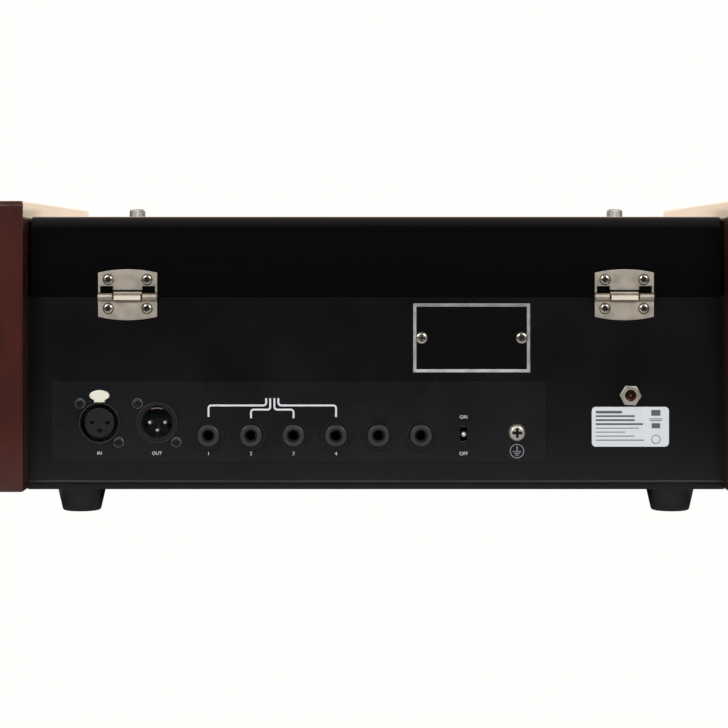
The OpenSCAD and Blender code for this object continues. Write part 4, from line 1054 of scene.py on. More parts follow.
@dataclass(frozen=True)
class Lamp:
    """A square soft lamp that looks at the unit: its place in metres, its side and its power."""

    name: str
    place: Point3
    side: float
    power: float
    mirrored: bool = True

    def build(self) -> None:
        """Makes the lamp."""
        data = bpy.data.lights.new(self.name, "AREA")
        data.size = self.side
        data.energy = self.power
        lamp = bpy.data.objects.new(self.name, data)
        lamp.location = self.place
        aim = Vector((0.0, 0.0, 0.09)) - Vector(self.place)
        lamp.rotation_euler = aim.to_track_quat("-Z", "Y").to_euler()
        lamp.visible_glossy = self.mirrored
        bpy.context.scene.collection.objects.link(lamp)


@dataclass
class Studio:
    """White studio: pale floor, soft lamps, and the camera at the photograph's angle.

    The walls are what polished pieces mirror: colours from behind the camera (0) to the far end (1).
    """

    eye_mm: Point3 = (0.0, -1450.0, 153.6)
    lens_mm: float = 110.8
    picture_px: int = 728
    vanishing_px: tuple[int, int] = (376, 253)
    floor_m: float = 40.0
    floor_mm: float = 10.0
    floor_white: float = 0.99
    near_m: float = 0.16
    far_m: float = 0.75
    white: Colour = srgb(255, 255, 253)
    ambient: float = 0.25
    wall_light: float = 1.4
    walls: tuple[tuple[float, Colour], ...] = (
        (0.0, (0.014, 0.014, 0.014, 1.0)),
        (0.012, (0.02, 0.02, 0.02, 1.0)),
        (0.07, (0.09, 0.09, 0.088, 1.0)),
        (0.25, (0.18, 0.175, 0.17, 1.0)),
        (0.5, (0.22, 0.205, 0.19, 1.0)),
        (0.9, (0.30, 0.27, 0.24, 1.0)),
        (0.985, (1.25, 1.0, 0.77, 1.0)),
    )
    lamps: tuple[Lamp, ...] = (
        Lamp("overhead", (0.0, -0.3, 1.8), 1.3, 8.0, mirrored=False),
        Lamp("rear_left", (-1.02, -1.86, 1.09), 0.8, 17.0),
        Lamp("rear_right", (1.02, -1.86, 1.09), 0.8, 17.0),
        Lamp("front_left", (-1.02, 1.86, 1.09), 0.8, 12.0),
        Lamp("front_right", (1.02, 1.86, 1.09), 0.8, 12.0),
    )

    def build(self) -> None:
        """Sets up the studio."""
        bpy.context.scene.view_settings.view_transform = "Standard"
        self._camera()
        self._floor()
        self._world()
        for lamp in self.lamps:
            lamp.build()

    def _camera(self) -> None:
        """Makes the camera, level, with the vanishing point of the depth where the photograph has it."""
        data = bpy.data.cameras.new("camera")
        data.lens = self.lens_mm
        middle = self.picture_px / 2
        data.shift_x = (middle - self.vanishing_px[0]) / self.picture_px
        data.shift_y = (self.vanishing_px[1] - middle) / self.picture_px
        camera = bpy.data.objects.new("camera", data)
        camera.location = Vector(self.eye_mm) * MM
        camera.rotation_euler = (math.pi / 2, 0.0, 0.0)
        bpy.context.scene.collection.objects.link(camera)
        bpy.context.scene.camera = camera

    def _floor(self) -> None:
        """Makes the floor: white to the camera, and it keeps a soft part of the unit's shadow; in reflections
        it is painted darker further from the middle, as painted shade.
        """
        side = self.floor_m / MM
        shape = Shape.block((side, side, self.floor_mm), (0, 0, -self.floor_mm / 2))
        mesh = shape.mesh("floor", 30.0)
        mesh.transform(Matrix.Scale(MM, 4))
        floor = bpy.data.objects.new("floor", mesh)
        bpy.context.scene.collection.objects.link(floor)
        paint = Paint("studio_floor")
        away = paint.node("ShaderNodeVectorMath", {"operation": "LENGTH"}, {0: paint.place}, out="Value")
        mirrored = paint.node("ShaderNodeLightPath", out="Is Glossy Ray")
        # Painted shade: in reflections the floor darkens with distance from the middle.
        painted_reflection_falloff = mirrored * paint.span(away, self.near_m, self.far_m, 0.0, 1.0)
        paint.shade(
            Base_Color=paint.mix(srgb(222, 222, 221), srgb(34, 34, 34), painted_reflection_falloff),
            Roughness=0.9,
            Specular_IOR_Level=0.0,
        )
        white = paint.node("ShaderNodeEmission", sockets={"Color": self.white, "Strength": 1.0})
        paths = paint.node("ShaderNodeLightPath", out="Is Camera Ray")
        shown = paint.node(
            "ShaderNodeMixShader",
            sockets={0: paths * self.floor_white, 1: Value(paint, paint.shader.outputs[0]), 2: white},
        )
        output = next(n for n in paint.tree.nodes if n.type == "OUTPUT_MATERIAL")
        paint.plug(output.inputs["Surface"], shown)
        mesh.materials.append(paint.material)

    def _world(self) -> None:
        """Makes the studio around: white to look at, and dark behind the camera in reflections."""
        world = bpy.data.worlds.new("studio")
        world.use_nodes = True
        bpy.context.scene.world = world
        tree = Tree(world.node_tree)
        way = tree.node("ShaderNodeTexCoord", out="Generated")
        along = tree.node("ShaderNodeSeparateXYZ", sockets={0: way}, out="Y")
        walls = tree.node("ShaderNodeValToRGB", {"stops": self.walls}, {"Fac": along * 0.5 + 0.5})
        seen = tree.node("ShaderNodeLightPath", out="Is Camera Ray")
        through = tree.node("ShaderNodeLightPath", out="Is Transmission Ray")
        glossy = tree.node("ShaderNodeLightPath", out="Is Glossy Ray")
        shown = tree.node("ShaderNodeMath", {"operation": "MAXIMUM"}, {0: seen, 1: through})
        strength = shown + (1 - shown) * ((1 - glossy) * self.ambient + glossy * self.wall_light)
        colour = tree.mix(self.white, walls, glossy)
        back = tree.node("ShaderNodeBackground", sockets={"Color": colour, "Strength": strength})
        output = tree.tree.nodes.new("ShaderNodeOutputWorld")
        tree.plug(output.inputs["Surface"], back)


# ---- fasteners ----


@dataclass(frozen=True)
class CrossScrew:
    """A domed screw with a cross in its head; the head stands on Z = 0 and the shank goes below it.

    The shares are parts of the head's radius; the dome's are (radius, height) shares of the head.
    """

    head_r: float = 3.0
    head_h: float = 1.56
    flat_share: float = 0.62
    dome: tuple[Point2, ...] = ((0.78, 0.9), (0.93, 0.66), (1.0, 0.3), (1.0, 0.0))
    arm_share: float = 0.52
    arm_half: float = 0.42
    depth: float = 1.0
    shank_r: float = 1.5
    shank: float = 4.0
    # Width of the black ring of painted shadow around the head.
    seat_gap: float = 0.34
    steps: int = 24

    def _cross(self) -> Sketch:
        """Draws the cross."""
        arm, half = self.arm_share * self.head_r, self.arm_half
        corners = [(half, half), (arm, half), (arm, -half)]
        quarter = [Matrix.Rotation(math.radians(-90 * turn), 2) for turn in range(4)]
        return Sketch().outline([tuple(turn @ Vector(corner)) for turn in quarter for corner in corners])

    def shape(self) -> Shape:
        """Builds the screw: a shank, a dome, and a flat that holds the cross."""
        flat_r = self.flat_share * self.head_r
        cap = Shape()
        cap.bm = self._cross().circle(flat_r, steps=self.steps).bm
        bmesh.ops.triangle_fill(cap.bm, use_beauty=True, edges=cap.bm.edges)
        bmesh.ops.translate(cap.bm, vec=(0, 0, self.head_h), verts=cap.bm.verts)
        rim = [edge for edge in cap.bm.edges if edge.is_boundary]
        cross = [edge for edge in rim if max(vert.co.xy.length for vert in edge.verts) < 0.95 * flat_r]
        walls = bmesh.ops.extrude_edge_only(cap.bm, edges=cross)["geom"]
        low = [g for g in walls if isinstance(g, bmesh.types.BMVert)]
        bmesh.ops.translate(cap.bm, vec=(0, 0, -self.depth), verts=low)
        floor = [g for g in walls if isinstance(g, bmesh.types.BMEdge)]
        bmesh.ops.triangle_fill(cap.bm, use_beauty=True, edges=floor)
        profile = [(flat_r, self.head_h), *((r * self.head_r, z * self.head_h) for r, z in self.dome)]
        profile += [(self.shank_r, 0.0), (self.shank_r, -self.shank), (0.0, -self.shank)]
        return Shape.turned(profile, self.steps).with_shape(cap).welded()

    def shadow(self) -> Shape:
        """Builds the painted shadow of the head: a black filling in the cross, and a black ring in the seat
        around it.
        """
        fill = self._cross().raised(self.head_h - 0.9 * self.depth, self.head_h - 0.12)
        return fill.with_shape(Shape.ring(self.head_r, self.head_r + self.seat_gap, 0, 0.04, self.steps))


@dataclass
class Screws:
    """The screws, each turned a little differently."""

    under_z: float = 10.0
    seed: int = 11

    def build(self, unit: Unit) -> None:
        """Seats all screws with a cross."""
        turns = random.Random(self.seed)
        small = CrossScrew()
        self._seat(unit, "hinge_lid_screws", small, Finishes.bright_nickel, turns)
        self._seat(unit, "panel_screws", small, Finishes.bright_nickel, turns)
        self._seat(unit, "xlr_screws", small, Finishes.black_oxide, turns)
        earth = CrossScrew(arm_share=0.56, arm_half=0.85, flat_share=0.66, depth=1.4, shank_r=2.0, steps=40)
        self._seat(unit, "earth_post", earth, Finishes.silver, turns)
        self._rims(unit)

    def _face(self, room: Room) -> Face:
        """Tells where the head of a packed screw points."""
        if room.size.z > room.size.x + 1:
            return Face.UNDER if room.low.z < self.under_z else Face.TOP
        return Face.REAR if room.centre.y < 0 else Face.FRONT

    def _seat(self, unit: Unit, node: str, screw: CrossScrew, finish: Finish, turns: random.Random) -> None:
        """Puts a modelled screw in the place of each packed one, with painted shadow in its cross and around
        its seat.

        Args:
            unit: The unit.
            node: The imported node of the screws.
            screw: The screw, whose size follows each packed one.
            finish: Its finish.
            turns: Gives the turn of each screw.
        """
        plate = unit.room("io_plate").low.y
        screws, shadows = Shape(), Shape()
        for room in unit.rooms(node):
            face = self._face(room)
            axis, low = (2, face is Face.UNDER) if face in (Face.TOP, Face.UNDER) else (1, face is Face.REAR)
            head_h = plate - room.low.y if node == "earth_post" else screw.head_h
            sized = replace(screw, head_r=room.size.x / 2, head_h=head_h, shank=room.size[axis] - head_h)
            middle = room.centre.copy()
            middle[axis] = room.low[axis] + head_h if low else room.high[axis] - head_h
            place = face.at(*middle, spin=turns.uniform(0, 90))
            screws.with_shape(sized.shape(), place)
            shadows.with_shape(sized.shadow(), place)
        unit.remake(f"{node}_crossed", screws, finish, node)
        # Black cross fillings and seat rings: painted shadow.
        unit.add(f"{node}_recess_shadows", shadows, Finishes.void, node)

    def _rims(self, unit: Unit) -> None:
        """Adds a painted highlight: a pale ring on the rim of each black screw at the round sockets."""
        rim = Shape.turned([(2.66, 1.0), (2.8, 1.12), (2.96, 0.72), (2.96, 0.5), (2.66, 1.0)], 32)
        places = [room.facing(Face.REAR, room.low.y + CrossScrew.head_h) for room in unit.rooms("xlr_screws")]
        unit.add("xlr_screw_rim_highlights", rim.copies(places), Finishes.worn, "xlr_screws")


# ---- case ----


def runs_along_x(edge: bmesh.types.BMEdge) -> bool:
    """Tells whether an edge runs along X."""
    first, second = (vert.co for vert in edge.verts)
    return abs(first.x - second.x) > 1


@dataclass
class Cheeks:
    """The two wooden cheeks."""

    corner_r: float = 3.5
    edge_r: float = 1.4

    def build(self, unit: Unit) -> None:
        """Models both boards with rounded corners and edges."""
        for node in ("left_cheek", "right_cheek"):
            room = unit.room(node)
            board = Shape.block(room.size, room.centre)
            board.bevelled(self.corner_r, 10, wanted=runs_along_x)
            board.bevelled(self.edge_r, 4, angle=50)
            unit.remake(f"{node}_board", board, Finishes.wood, node)


@dataclass
class Case:
    """The sheet metal of the base, and its feet."""

    foot_edge: float = 1.3
    foot_taper: float = 0.791
    recess: Point2 = (5.0, 9.0)
    washer_r: float = 4.4
    washer_t: float = 0.8
    bend_z: float = 19.3
    gap_z: float = 17.7

    def build(self, unit: Unit) -> None:
        """Dresses the sheets and turns the feet."""
        unit.dress(Finishes.case, "base_tray", "rear_panel")
        unit.dress(Finishes.front, "front_panel", "jack_panel")
        unit.dress(Finishes.deck, "deck_plate")
        self._feet(unit)
        self._lower_bend(unit)

    def _lower_bend(self, unit: Unit) -> None:
        """Adds the rolled lower edge of the rear sheet, lighter as a painted highlight, and a black strip of
        painted shadow in the gap between it and the tray.
        """
        sheet = unit.room("rear_panel")
        width = sheet.size.x - 1.0
        roll = Shape.block((width, 1.5, 1.7), (0, sheet.low.y + 0.35, self.bend_z)).bevelled(0.7, 5)
        # Painted highlight: the rolled edge is lighter than the black sheet.
        unit.add("rear_lower_bend", roll, Finishes.bend, "rear_panel")
        gap = Shape.block((width, 0.3, 0.8), (0, sheet.low.y + 0.1, self.gap_z)).bevelled(0.1)
        # Painted shadow: a black strip in the gap under the rolled edge.
        unit.add("rear_lower_gap_shadow", gap, Finishes.void, "rear_panel")

    def _feet(self, unit: Unit) -> None:
        """Turns the four feet, with a washer in the recess of each."""
        rooms = unit.rooms("feet")
        height, top_r = rooms[0].size.z, rooms[0].size.x / 2
        tip_r, edge = self.foot_taper * top_r, self.foot_edge
        hole_r, hole = self.recess
        profile = [(0, hole), (hole_r, hole), (hole_r, 0.5), (hole_r + 0.5, 0.0), (tip_r - edge, 0.0)]
        profile += [(tip_r - 0.3 * edge, 0.25 * edge), (tip_r, 0.8 * edge), (top_r - 0.12, height - 0.9)]
        profile += [(top_r, height - 0.5), (top_r, height), (0, height)]
        places = [room.upright(0) for room in rooms]
        unit.remake("feet_turned", Shape.turned(profile, 56).copies(places), Finishes.rubber, "feet")
        under = hole - self.washer_t
        washer = Shape.turned([(0, under), (self.washer_r, under), (self.washer_r, hole), (0, hole)], 32)
        unit.add("foot_washers", washer.copies(places), Finishes.zinc, "panel_screws")


@dataclass
class Lid:
    """The gloss lid with its lift knobs; the knob's profile holds shares of its radius and height."""

    wall: float = 3.0
    edge_r: float = 7.0
    end_r: float = 1.1
    neck_share: float = 0.62
    knob_profile: tuple[Point2, ...] = ((0.82, 0.36), (1, 0.42), (1, 0.86), (0.93, 0.95), (0.8, 1))
    dimple: float = 0.25
    knurls: int = 30
    knurl_share: float = 0.975

    def build(self, unit: Unit) -> None:
        """Models the shell and the knobs."""
        room = unit.room("lid_shell")
        outer = self._cover(room.size, room.centre, self.edge_r)
        outer.bevelled(self.end_r, 3, angle=50)
        inner_size = room.size - Vector((2 * self.wall, 2 * self.wall, self.wall))
        inner = self._cover(inner_size, room.centre - Vector((0, 0, self.wall / 2)), self.edge_r - self.wall)
        outer.with_shape(inner)
        rims = [edge for edge in outer.bm.edges if edge.is_boundary]
        bmesh.ops.bridge_loops(outer.bm, edges=rims)
        unit.remake("lid_shell_polished", outer.welded(), Finishes.lid, "lid_shell")
        self._knobs(unit)

    def _cover(self, size: Vector, centre: Vector, radius: float) -> Shape:
        """Makes an open cover with its long upper edges rounded."""
        shape = Shape.block(size, centre)
        top = centre.z + size.z / 2

        def long_upper(edge: bmesh.types.BMEdge) -> bool:
            """Picks the two long upper edges."""
            return runs_along_x(edge) and min(vert.co.z for vert in edge.verts) > top - 0.01

        shape.bevelled(radius, 10, wanted=long_upper)
        bottom = centre.z - size.z / 2
        floor = [face for face in shape.bm.faces if max(vert.co.z for vert in face.verts) < bottom + 0.01]
        bmesh.ops.delete(shape.bm, geom=floor, context="FACES")
        return shape

    def _knobs(self, unit: Unit) -> None:
        """Turns the two lift knobs, with a knurled rim."""
        rooms = unit.rooms("lid_knobs")
        base = unit.room("lid_shell").high.z
        top, radius = rooms[0].high.z - base, rooms[0].size.x / 2
        neck, floor = self.neck_share * radius, top - self.dimple
        profile = [(0, 0), (neck + 0.5, 0), (neck, 0.6), (neck, 0.34 * top)]
        profile += [(r * radius, z * top) for r, z in self.knob_profile] + [(0.5 * radius, floor), (0, floor)]
        knob = Shape.turned(profile, self.knurls * 2)
        for vert in knob.bm.verts:
            turn = round(math.atan2(vert.co.y, vert.co.x) / math.tau * self.knurls * 2)
            if vert.co.xy.length > 0.97 * radius and turn % 2:
                vert.co.xy *= self.knurl_share
        knobs = knob.copies([room.upright(base) for room in rooms])
        unit.remake("lid_knobs_knurled", knobs, Finishes.lid_knob, "lid_knobs", smooth_angle=20)


@dataclass
class Hinges:
    """The two nickel-plated hinges; the groove is between two heights above the pin."""

    leaf_t: float = 1.2
    knuckle_r: float = 2.1
    pin_r: float = 1.05
    mid_w: float = 17.2
    sill: float = 6.3
    strip_w: float = 1.25
    edge: float = 0.3
    bow: float = 2.0
    groove: Point2 = (2.9, 4.05)

    def build(self, unit: Unit) -> None:
        """Models leaves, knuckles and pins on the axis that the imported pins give."""
        pins = unit.rooms("hinge_pins")
        width = pins[0].size.x
        rear = unit.room("rear_panel").low.y
        lid_leaf, base_leaf = unit.room("hinge_lid_leaves"), unit.room("hinge_base_leaves")
        axis = pins[0].centre
        up, down = lid_leaf.high.z - axis.z, axis.z - base_leaf.low.z
        places = [pin.facing(Face.REAR, rear) for pin in pins]
        out = rear - axis.y
        at_axis = Matrix.Translation((0, 0, out))
        upper = self._upper_leaf(width, up, out).copies(places)
        unit.remake("hinge_upper_leaves", upper, Finishes.nickel, "hinge_lid_leaves")
        lower = self._lower_leaf(width, down, out).copies(places)
        unit.remake("hinge_lower_leaves", lower, Finishes.nickel, "hinge_base_leaves")
        pin = self._barrel(width + 0.6, self.pin_r, 0.25).copies([place @ at_axis for place in places])
        unit.remake("hinge_pins_turned", pin, Finishes.bright_nickel, "hinge_pins")
        low, high = self.groove
        gap = Shape.block((self.mid_w - 0.1, high - low, 0.2), (0, (low + high) / 2, 0.62))
        gap.with_shape(self._barrel(self.mid_w + 0.2, self.pin_r + 0.25, 0.2), at_axis)
        unit.add("hinge_gap_shadows", gap.copies(places), Finishes.void, "hinge_lid_leaves")

    def _barrel(self, width: float, radius: float, edge: float) -> Shape:
        """Turns a rod along X about the middle, with eased ends."""
        start = [(0, 0), (radius - edge, 0), (radius, edge)]
        lie = Matrix.Translation((-width / 2, 0, 0)) @ Matrix.Rotation(math.pi / 2, 4, "Y")
        return Shape.turned(start + [(r, width - z) for r, z in reversed(start)], 28).moved(lie)

    def _bowed(self, points: list[Point2], width: float, top: float) -> list[Point2]:
        """Closes an outline with its bowed free edge, from right to left."""
        steps = 14
        arc = [width / 2 - width * step / steps for step in range(steps + 1)]
        return points + [(x, top - self.bow * (2 * x / width) ** 2) for x in arc]

    def _upper_leaf(self, width: float, height: float, out: float) -> Shape:
        """Models the leaf on the lid, with its middle knuckle and the windows over the outer ones."""
        half, mid, foot = width / 2, self.mid_w / 2, self.knuckle_r + 0.4
        strip = half - self.strip_w
        low, high = self.groove
        feet = [(-half, foot), (-strip, foot), (-strip, self.sill), (-mid, self.sill), (-mid, high)]
        feet += [(-x, y) for x, y in reversed(feet)]
        leaf = Sketch().outline(self._bowed(feet, width, height)).raised(0, self.leaf_t, self.edge)
        neck = Shape.block((self.mid_w - 1.2, 4.6, 0.4), (0, 2.4, 0.3))
        lip = Shape.block((self.mid_w - 0.6, low - 1.2, 1.0), (0, (low + 1.2) / 2, 1.3)).bevelled(0.3)
        return leaf.with_shape(neck).with_shape(lip).with_shape(self._tab(self.mid_w - 1.5, out))

    def _tab(self, width: float, out: float) -> Shape:
        """Models the middle knuckle: rolled around the pin, with a pressed flat that looks up a little."""
        radius = self.knuckle_r
        arc = [math.radians(100 + 20 * step) for step in range(10)]
        section = [(radius * math.sin(turn), out - 0.2 + radius * math.cos(turn)) for turn in arc]
        pressed = ((-2.0, 0.5), (-1.7, 0.1), (0.75, 0.75), (1.1, 1.1))
        section += [(y, out + radius - back) for y, back in pressed]
        return Sketch().outline(section).raised(-width / 2, width / 2).lying()

    def _lower_leaf(self, width: float, height: float, out: float) -> Shape:
        """Models the leaf on the base, with its two outer knuckles."""
        half, foot = width / 2, self.knuckle_r - 1.0
        side = (width - self.mid_w) / 2 - 0.2
        edge = [(-half, foot), (half, foot)]
        leaf = Sketch().outline(self._bowed(edge, width, height)).raised(0, self.leaf_t, self.edge)
        leaf.moved(Matrix.Rotation(math.pi, 4, "Z"))
        for sign in (-1, 1):
            middle = sign * (half - side / 2)
            leaf.with_shape(self._barrel(side, self.knuckle_r, 0.3), Matrix.Translation((middle, 0, out)))
            leaf.with_shape(Shape.block((side, 2.6, 1.0), (middle, -1.3, self.leaf_t - 0.2)).bevelled(0.2))
        return leaf


# ---- rear ----


@dataclass
class Connections:
    """The sockets and the switch on the rear."""

    thread_r: float = 6.1
    thread_pitch: float = 0.45
    thread_turns: int = 3
    jack_nut_t: float = 1.8
    latch_h: float = 6.4
    latch_neck: float = 3.2
    contact_reach: float = 4.6
    shell_r: float = 9.02
    shell_depth: float = 9.0
    spring_r: float = 8.7
    supply_nut_r: float = 6.4
    supply_nut_turn: float = math.radians(-3.5)
    ball_r: float = 1.75

    def build(self, unit: Unit) -> None:
        """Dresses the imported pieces, and adds what they lack."""
        unit.eased("io_plate", Finishes.socket_plate, 0.3)
        unit.eased("xlr_in_socket", Finishes.socket, 0.18, 3)
        unit.eased("xlr_in_insert", Finishes.insert, 0.3, 3)
        unit.eased("xlr_out_socket", Finishes.socket, 0.3, 3)
        unit.eased("jack_sockets", Finishes.sleeve, 0.3, 3)
        unit.eased("jack_nuts", Finishes.nut, 0.3, 3)
        unit.dress(Finishes.lid_knob, "xlr_out_pins")
        # The switch body, seen through its slot, is black: painted shade.
        unit.dress(Finishes.void, "stop_switch_body")
        unit.dress(Finishes.socket, "dc_socket")
        self._jacks(unit)
        self._latch(unit)
        self._round_sockets(unit)
        self._supply(unit)
        self._stop_lever(unit)

    def _jacks(self, unit: Unit) -> None:
        """Adds the threads between nut and rim, black linings of painted shade in the bores, and the springs
        in them.
        """
        ridges = []
        for turn in range(self.thread_turns):
            low = self.jack_nut_t + 0.05 + turn * self.thread_pitch / 1.15
            ridges += [(self.thread_r + 0.02, low), (self.thread_r + 0.16, low + self.thread_pitch / 2.3)]
        inner, foot = self.thread_r - 0.15, ridges[0][1]
        thread = Shape.turned([(inner, foot), *ridges, (inner, ridges[-1][1] + 0.15), (inner, foot)], 48)
        flare = [(3.19, 0.69), (3.8, 1.2), (3.95, 1.24), (3.75, 1.24), (2.95, 0.5)]
        mouth = [(r, z + self.jack_nut_t) for r, z in flare]
        # Black bore lining: painted shade inside the bore.
        bore_shadow = Shape.turned([(3.19, -12), *mouth, (2.95, -12), (3.19, -12)], 40)
        spring = Shape.block((0.5, 1.5, 7.0), (2.6, 0, -8.0)).bevelled(0.2, 2)
        places = []
        for nut in unit.rooms("jack_nuts"):
            face, seat = (Face.REAR, nut.high.y) if nut.centre.y < 0 else (Face.FRONT, nut.low.y)
            places.append(nut.facing(face, seat))
        unit.add("jack_threads", thread.copies(places), Finishes.sleeve, "jack_sockets")
        unit.add("jack_bore_shadows", bore_shadow.copies(places), Finishes.void, "jack_sockets")
        unit.add("jack_springs", spring.copies(places), Finishes.nickel, "jack_sockets")

    def _latch(self, unit: Unit) -> None:
        """Models the oval latch with the neck that goes into the round input."""
        room = unit.room("xlr_latch")
        half_w, half_h, top = room.size.x / 2, self.latch_h / 2, room.size.z / 2
        neck, foot = self.latch_neck, -room.size.z / 2 - 0.3
        turns = [math.radians(-60 + 10 * step) for step in range(31)]
        oval = [(half_w * math.cos(turn), top - half_h + half_h * math.sin(turn)) for turn in turns]
        shoulder = oval[0][1] + 0.2
        outline = [(neck, foot), (neck, shoulder), *oval[1:-1], (-neck, shoulder), (-neck, foot)]
        latch = Sketch().outline(outline).raised(0, room.size.y, 0.5, 3)
        unit.remake("xlr_latch_oval", latch, Finishes.latch, "xlr_latch", room.facing(Face.REAR, room.high.y))

    def _round_sockets(self, unit: Unit) -> None:
        """Adds contacts to the round input, a black cup of painted shade and an earth spring to the output,
        and lighter grey rims to both.
        """
        plate = unit.room("io_plate").low.y
        insert, out = unit.room("xlr_in_insert").centre, unit.room("xlr_out_pins").centre
        into, outof = (Face.REAR.at(x, plate, insert.z) for x in (insert.x, out.x))
        reach = self.contact_reach
        spots = [into @ Matrix.Translation(spot) for spot in ((-reach, 0, 0), (reach, 0, 0), (0, -reach, 0))]
        contacts = Shape.ring(0.85, 1.28, -9, -6.5, 20).copies(spots)
        unit.add("xlr_in_contacts", contacts, Finishes.brass, "xlr_in_insert")
        inner, outer, deep = self.shell_r, self.shell_r + 0.16, -self.shell_depth
        cup = [(outer, deep - 0.2), (outer, -0.4), (inner, -0.4), (inner, deep), (0, deep), (0, deep - 0.2)]
        # Black cup inside the output's shell: painted shade.
        unit.add("xlr_out_cup_shadow", Shape.turned(cup, 56), Finishes.void, "xlr_out_socket", outof)
        edge = [(11.72, -0.05), (11.72, 0.83), (11.86, 0.86), (12, 0.83), (12, -0.05), (11.72, -0.05)]
        edges = Shape.turned(edge, 72).copies((into, outof))
        unit.add("xlr_ring_edges", edges, Finishes.sleeve, "io_plate")
        leaf = Shape.block((0.8, 0.6, 2.6), (0, self.spring_r, -1.7))
        steps = 10
        turns = [math.radians(-20 + 40 * step / (steps - 1)) for step in range(steps)]
        spring = leaf.copies([Matrix.Rotation(turn, 4, "Z") for turn in turns])
        unit.add("xlr_out_spring", spring, Finishes.copper, "xlr_out_socket", outof)

    def _supply(self, unit: Unit) -> None:
        """Models the nut of the supply socket, its collar, and the copper cup with its pin; the cup's copper
        is darkened as painted shade.
        """
        nut = unit.room("dc_nut")
        place = nut.facing(Face.REAR, nut.high.y)
        radius = self.supply_nut_r
        turns = [math.radians(60 * corner) + self.supply_nut_turn for corner in range(6)]
        hexagon = Sketch().outline([(radius * math.cos(turn), radius * math.sin(turn)) for turn in turns])
        plate = hexagon.circle(3.4, steps=40).raised(0, nut.size.y, 0.45, 3)
        unit.remake("dc_nut_chamfered", plate, Finishes.silver, "dc_nut", place)
        rim = [(3.42, 0.5), (3.42, 2.75), (3.7, 2.95), (4.5, 2.95), (4.8, 2.6), (4.8, 0.5), (3.42, 0.5)]
        unit.add("dc_collar", Shape.turned(rim, 40), Finishes.silver, "dc_nut", place)
        cup = Shape.turned([(3.4, -5), (3.4, 2.8), (3.2, 2.6), (3.1, 1.1), (2.2, 0.7), (0, 0.7), (0, -5)], 36)
        unit.add("dc_lining", cup, Finishes.copper_dark, "dc_socket", place)
        pin = Shape.turned([(0, 0.5), (0.95, 0.5), (0.95, 2.2), (0.6, 2.6), (0, 2.7)], 24)
        unit.add("dc_pin", pin, Finishes.steel, "dc_socket", place)

    def _stop_lever(self, unit: Unit) -> None:
        """Models the ball-ended lever, the bushing behind its slot and a black ring of painted shade around
        the slot.
        """
        lever = unit.room("stop_lever")
        plate = unit.room("io_plate").low.y
        ball = self.ball_r
        tip, root = plate - lever.low.y, plate - lever.high.y
        profile = [(0, root), (0.9, root), (0.9, tip - 2 * ball + 0.3)]
        arc = [math.radians(-60 + 15 * step) for step in range(11)]
        profile += [(ball * math.cos(turn), tip - ball + ball * math.sin(turn)) for turn in arc] + [(0, tip)]
        spot = lever.facing(Face.REAR, plate)
        unit.remake("stop_lever_turned", Shape.turned(profile, 32), Finishes.silver, "stop_lever", spot)
        unit.add("stop_bushing", Shape.ring(4.35, 4.7, -1.9, -0.9), Finishes.steel, "stop_switch_body", spot)
        # Painted shade: a black ring around the slot.
        edge = Sketch().rect(4.7, 11.6, corner=2.3, steps=8).rect(4.45, 9.7, corner=2.2, steps=8)
        unit.add("stop_slot_edge_shadow", edge.raised(0, 0.03), Finishes.void, "io_plate", spot)


